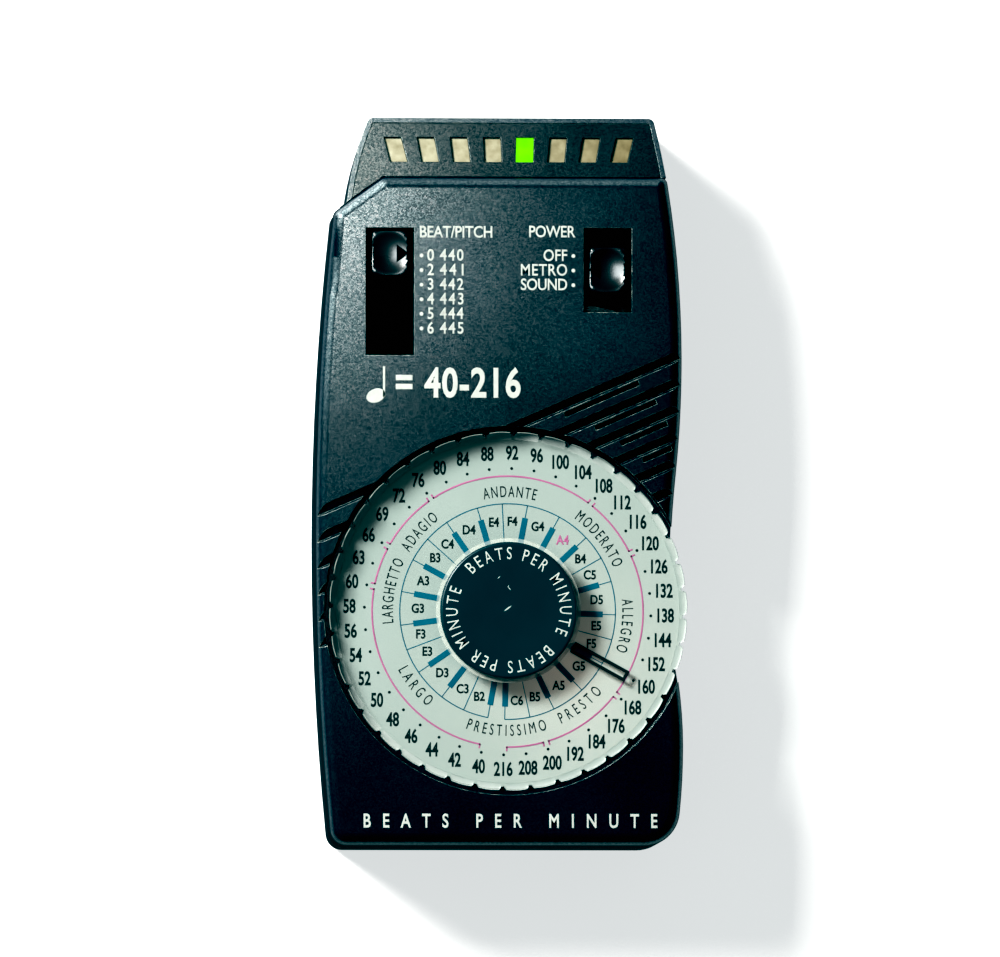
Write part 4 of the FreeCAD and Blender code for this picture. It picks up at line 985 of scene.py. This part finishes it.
button("pitch_slider", 1)
button("power_slider", -1)
softbox("button_panel", 300, 62, 0.30, 0.16, 1.3, (0.95, 1.0, 1.0), buttons)

# %% [markdown]
# ## Printing
# Printing on plastic is a film of ink about 0.02 mm thick. It could be painted by a texture, but
# letters made as thin solid pieces stay sharp at any distance. Blender's own font is used: each
# word gets a width for its letters, a weight from an offset of the outline, and the spacing that
# makes it as long as it is on the object.

# %% Helpers for lettering and dots
INK = 0.012 * MM                  # half the ink's thickness


def word(text, size, place, width=0.7, weight=0.0, align="CENTER", length=None):
    """A word as a thin mesh: its capitals are about 0.7 of its size high."""
    obj = added(bpy.ops.object.text_add)
    data = obj.data
    data.body, data.size, data.offset, data.extrude = text, size * MM, weight * MM, INK
    data.align_x, data.align_y = align, "CENTER"
    data.resolution_u = 4
    if length:
        spans = []
        for spacing in (1.0, 2.0):
            data.space_character = spacing
            bpy.context.view_layer.update()
            spans.append(obj.dimensions.x)
        data.space_character = 1 + (length * MM / width - spans[0]) / (spans[1] - spans[0])
    bpy.ops.object.convert(target="MESH")
    obj = bpy.context.object
    obj.scale.x = width
    settle(obj)
    if length or align == "CENTER":
        xs = [vertex.co.x for vertex in obj.data.vertices]
        left, right = min(xs), max(xs)
        obj.location.x = -{"LEFT": left, "RIGHT": right, "CENTER": (left + right) / 2}[align]
        settle(obj)
    obj.location = Vector(place) + Vector((0, 0, INK))
    return settle(obj)


def disc_print(r, place):
    """A round dot of ink."""
    return settle(added(bpy.ops.mesh.primitive_cylinder_add, vertices=20, radius=r * MM,
                        depth=2 * INK, location=place))


print("lettering and dot helpers are ready")

# %% [markdown]
# ### Tempo numbers
# Forty tempos stand around the plate, one every nine degrees. They follow the usual metronome
# series: steps of 2 up to 60, of 3 up to 72, of 4 up to 120, of 6 up to 144 and of 8 above it.
# The numbers stand upright, whatever their place, so that they read without turning the case.

# %% Tempo numbers and their dots
NUMBERS_R, DOTS_R = 28.6, 25.9    # millimetres from the axis, like all radii on the scale
FIRST_STEP = 190.6                # degrees clockwise, where the slowest tempo stands
tempos = [*range(40, 60, 2), *range(60, 72, 3), *range(72, 120, 4), *range(120, 144, 6),
          *range(144, 217, 8)]


def step_angle(index):
    return FIRST_STEP + 360 / STEPS * index


numbers = [word(str(tempo), 3.45, on_dial(NUMBERS_R, step_angle(i)), 0.66, 0.09)
           for i, tempo in enumerate(tempos)]
finished(joined("scale_numbers", numbers), "case", "print_ink")
dots = [disc_print(0.26, on_dial(DOTS_R, step_angle(i), plate_z + INK)) for i in range(STEPS)]
finished(joined("scale_dots", dots), "case", "print_ink")

# %% [markdown]
# ### Lines on the scale
# An arc of ink is a short edge spun around the dial's axis and then given its thickness by a
# Solidify modifier. The pink arcs mark the tempo families, each with a small tick at both ends.

# %% Helpers for arcs and bars of ink
def spun(obj, clockwise):
    """Turn a piece about the dial's axis."""
    centre = Matrix.Translation((dial_x, dial_y, 0))
    turn = Matrix.Rotation(-math.radians(clockwise), 4, "Z")
    obj.matrix_world = centre @ turn @ centre.inverted()
    return settle(obj)


def arc_print(r_in, r_out, start, stop):
    """A strip of ink between two radii and two clockwise angles."""
    width = (r_out - r_in) * MM
    obj = settle(added(bpy.ops.mesh.primitive_plane_add, size=width,
                       location=on_dial((r_in + r_out) / 2, 0)))
    pick(obj, "VERT", lambda place: place.x > dial_x)
    bpy.ops.mesh.delete(type="VERT")
    select_all()
    bpy.ops.transform.translate(value=(width / 2, 0, 0))
    bpy.ops.mesh.spin(steps=max(1, round((stop - start) / 3)), angle=math.radians(stop - start),
                      center=(dial_x, dial_y, plate_z), axis=(0, 0, 1))
    editing(False)
    obj.location.z = INK
    settle(obj)
    thick = obj.modifiers.new("ink", "SOLIDIFY")
    thick.thickness, thick.offset = 2 * INK, 0
    bpy.ops.object.modifier_apply(modifier="ink")
    editing(True)
    normals_outwards()
    return spun(obj, start)


def bar_print(width, r_in, r_out, clockwise):
    """A straight bar of ink that points away from the dial's axis."""
    obj = added(bpy.ops.mesh.primitive_cube_add, size=1,
                location=on_dial((r_in + r_out) / 2, 0, plate_z + INK))
    obj.scale = (width * MM, (r_out - r_in) * MM, 2 * INK)
    return spun(settle(obj), clockwise)


print("arc and bar helpers are ready")

# %% Tempo families: pink arcs
FAMILIES = [                      # name, slowest, fastest, where it stands, its length, its tops
    ("LARGO", 40, 60, 231, 8.1, "in"), ("LARGHETTO", 60, 66, 280, 11.8, "out"),
    ("ADAGIO", 66, 76, 312, 8.3, "out"), ("ANDANTE", 76, 108, 1, 9.7, "out"),
    ("MODERATO", 108, 120, 51.5, 11.9, "out"), ("ALLEGRO", 120, 168, 96.7, 9.7, "out"),
    ("PRESTO", 168, 200, 142.3, 9.0, "in"), ("PRESTISSIMO", 200, 216, 180.5, 14.4, "in")]
GAP, TICK_IN = 0.9, 0.3           # degrees left open at an arc's end, and from there to its tick
arcs = []
for _, slowest, fastest, _, _, _ in FAMILIES:
    start = step_angle(tempos.index(slowest)) + GAP
    stop = step_angle(tempos.index(fastest)) - GAP
    arcs.append(arc_print(24.35, 24.65, start, stop))
    arcs += [bar_print(0.30, 24.4, 25.25, angle) for angle in (start + TICK_IN, stop - TICK_IN)]
finished(joined("tempo_arcs", arcs), "case", "print_pink")

# %% [markdown]
# The family names follow the curve of the plate. Each is made flat, then a Simple Deform modifier
# bends it round the dial's axis. Names on the upper half have their tops outwards, and those
# on the lower half have them towards the middle, so that none is upside down.

# %% Tempo families: bent words
def bent_word(text, size, r, clockwise, tops, width, weight, length, z=plate_z):
    """A word on an arc, with its tops outwards or towards the middle."""
    obj = word(text, size, (0, 0, 0), width, weight, length=length)
    bend = obj.modifiers.new("bend", "SIMPLE_DEFORM")
    bend.deform_method, bend.deform_axis = "BEND", "Z"
    bend.angle = length / r * (-1 if tops == "out" else 1)
    bpy.ops.object.modifier_apply(modifier="bend")
    obj.rotation_euler.z = -math.radians(clockwise) + (math.pi if tops == "in" else 0)
    obj.location = on_dial(r, clockwise, z)
    return settle(obj)


words = [bent_word(name, 2.9, 21.6, angle, tops, 0.60, 0.0, length)
         for name, _, _, angle, length, tops in FAMILIES]
finished(joined("tempo_words", words), "case", "print_ink")

# %% [markdown]
# ### Note ring
# Around the cap runs a ring of note names for the tuning tone, like the keys of a piano laid in
# a circle: a teal bar stands for each black key, thin lines part the white keys, and the
# concert pitch A4 is pink.

# %% Note ring: names, bars and lines
NOTES_R, BARS_IN, BARS_OUT, RING_R = 16.25, 12.6, 17.2, 19.5
BAR, LINE = 1.05, 0.16            # widths in millimetres
BESIDE_A_BAR = {"B": -1.3, "E": -1.3, "C": 1.5, "F": 1.5}     # degrees that these names move over
NATURALS = {
    "B2": 1, "C3": 2, "D3": 4, "E3": 6, "F3": 7, "G3": 9, "A3": 11, "B3": 13, "C4": 14, "D4": 16,
    "E4": 18, "F4": 19, "G4": 21, "A4": 23, "B4": 25, "C5": 26, "D5": 28, "E5": 30, "F5": 31,
    "G5": 33, "A5": 35, "B5": 37, "C6": 38}
sharps = [i for i in range(STEPS) if i not in NATURALS.values()]
between_naturals = (1.5, 6.5, 13.5, 18.5, 25.5, 30.5, 37.5)   # where no black key stands
names = {}
for note, i in NATURALS.items():
    angle = step_angle(i) + BESIDE_A_BAR.get(note[0], 0)
    names[note] = word(note, 2.3, on_dial(NOTES_R, angle), 0.84, 0.06)
finished(names.pop("A4"), "case", "print_pink").name = "concert_pitch_name"
finished(joined("note_names", list(names.values())), "case", "print_ink")
bars = [bar_print(BAR, BARS_IN, BARS_OUT, step_angle(i)) for i in sharps]
finished(joined("note_bars", bars), "case", "print_teal")
lines = [arc_print(19.41, 19.59, step_angle(0), step_angle(STEPS - 1))]
lines += [bar_print(LINE, BARS_OUT, RING_R, step_angle(i)) for i in sharps]
lines += [bar_print(LINE, BARS_IN, RING_R, step_angle(i)) for i in between_naturals]
finished(joined("note_lines", lines), "case", "print_teal")

# %% [markdown]
# ### Labels on the face
# The face names what each switch does, in white ink: the beats and the tuning pitch beside the
# left one, and the power positions beside the right one. The foot says what the dial counts.
# The large mark above the dial is a plain tempo range, with a quarter note.

# %% Labels beside the switches
LABEL, WEIGHT = 2.95, 0.05        # size and weight of the letters
LEFT_WIDTH, RIGHT_WIDTH = 0.86, 0.84
FIRST_ROW, ROW, ROW_DOT = 106.5, 2.64, 0.36
labels = [word("BEAT/PITCH", LABEL, on_face(-9.5, 110.7), LEFT_WIDTH, WEIGHT, length=13.1)]
for index, (beats, pitch) in enumerate(zip((0, 2, 3, 4, 5, 6), range(440, 446))):
    y = FIRST_ROW - index * ROW
    labels += [
        disc_print(ROW_DOT, on_face(-15.75, y, face_z + INK)),
        word(str(beats), LABEL, on_face(-14.1, y), LEFT_WIDTH, WEIGHT),
        word(str(pitch), LABEL, on_face(-10.3, y), LEFT_WIDTH, WEIGHT, length=4.3),
    ]
labels.append(word("POWER", LABEL, on_face(12.1, 110.8), RIGHT_WIDTH, WEIGHT, "RIGHT", 8.4))
for index, (position, length) in enumerate((("OFF", 4.3), ("METRO", 8.4), ("SOUND", 8.4))):
    y = FIRST_ROW - index * ROW
    labels += [
        disc_print(ROW_DOT, on_face(11.7, y, face_z + INK)),
        word(position, LABEL, on_face(10.6, y), RIGHT_WIDTH, WEIGHT, "RIGHT", length),
    ]
finished(joined("cover_labels", labels), "case", "print_white")

# %% Foot lettering and the tempo mark
foot_word = word("BEATS PER MINUTE", 3.5, on_face(0.35, 4.3), 0.74, 0.09, length=53.0)
finished(foot_word, "case", "print_white").name = "foot_lettering"


def note_mark(x, y, size):
    """A quarter note: a tilted oval head with a stem, in parts of its size."""
    head = added(bpy.ops.mesh.primitive_cylinder_add, vertices=40, radius=size * 0.21 * MM,
                 depth=2 * INK, location=on_face(x, y - size * 0.34, face_z + INK))
    head.scale = (1.3, 0.92, 1)
    head.rotation_euler.z = math.radians(22)
    settle(head)
    stem = added(bpy.ops.mesh.primitive_cube_add, size=1,
                 location=on_face(x + size * 0.235, y + size * 0.06, face_z + INK))
    stem.scale = (size * 0.065 * MM, size * 0.86 * MM, 2 * INK)
    return [head, settle(stem)]


mark = note_mark(-24.0, 83.3, 6.4)
mark.append(word("= 40-216", 7.4, on_face(-20.4, 83.2), 0.78, 0.2, "LEFT", 22.6))
finished(joined("tempo_mark", mark), "case", "print_white")

# %% Cap lettering
CAP_WORDS_AT = (35, 213)          # degrees clockwise
around = [bent_word("BEATS PER MINUTE", 3.15, 10.15, angle, "out", 0.72, 0.02, 28.4, cap_high.z)
          for angle in CAP_WORDS_AT]
finished(joined("cap_lettering", around), "dial", "print_white")
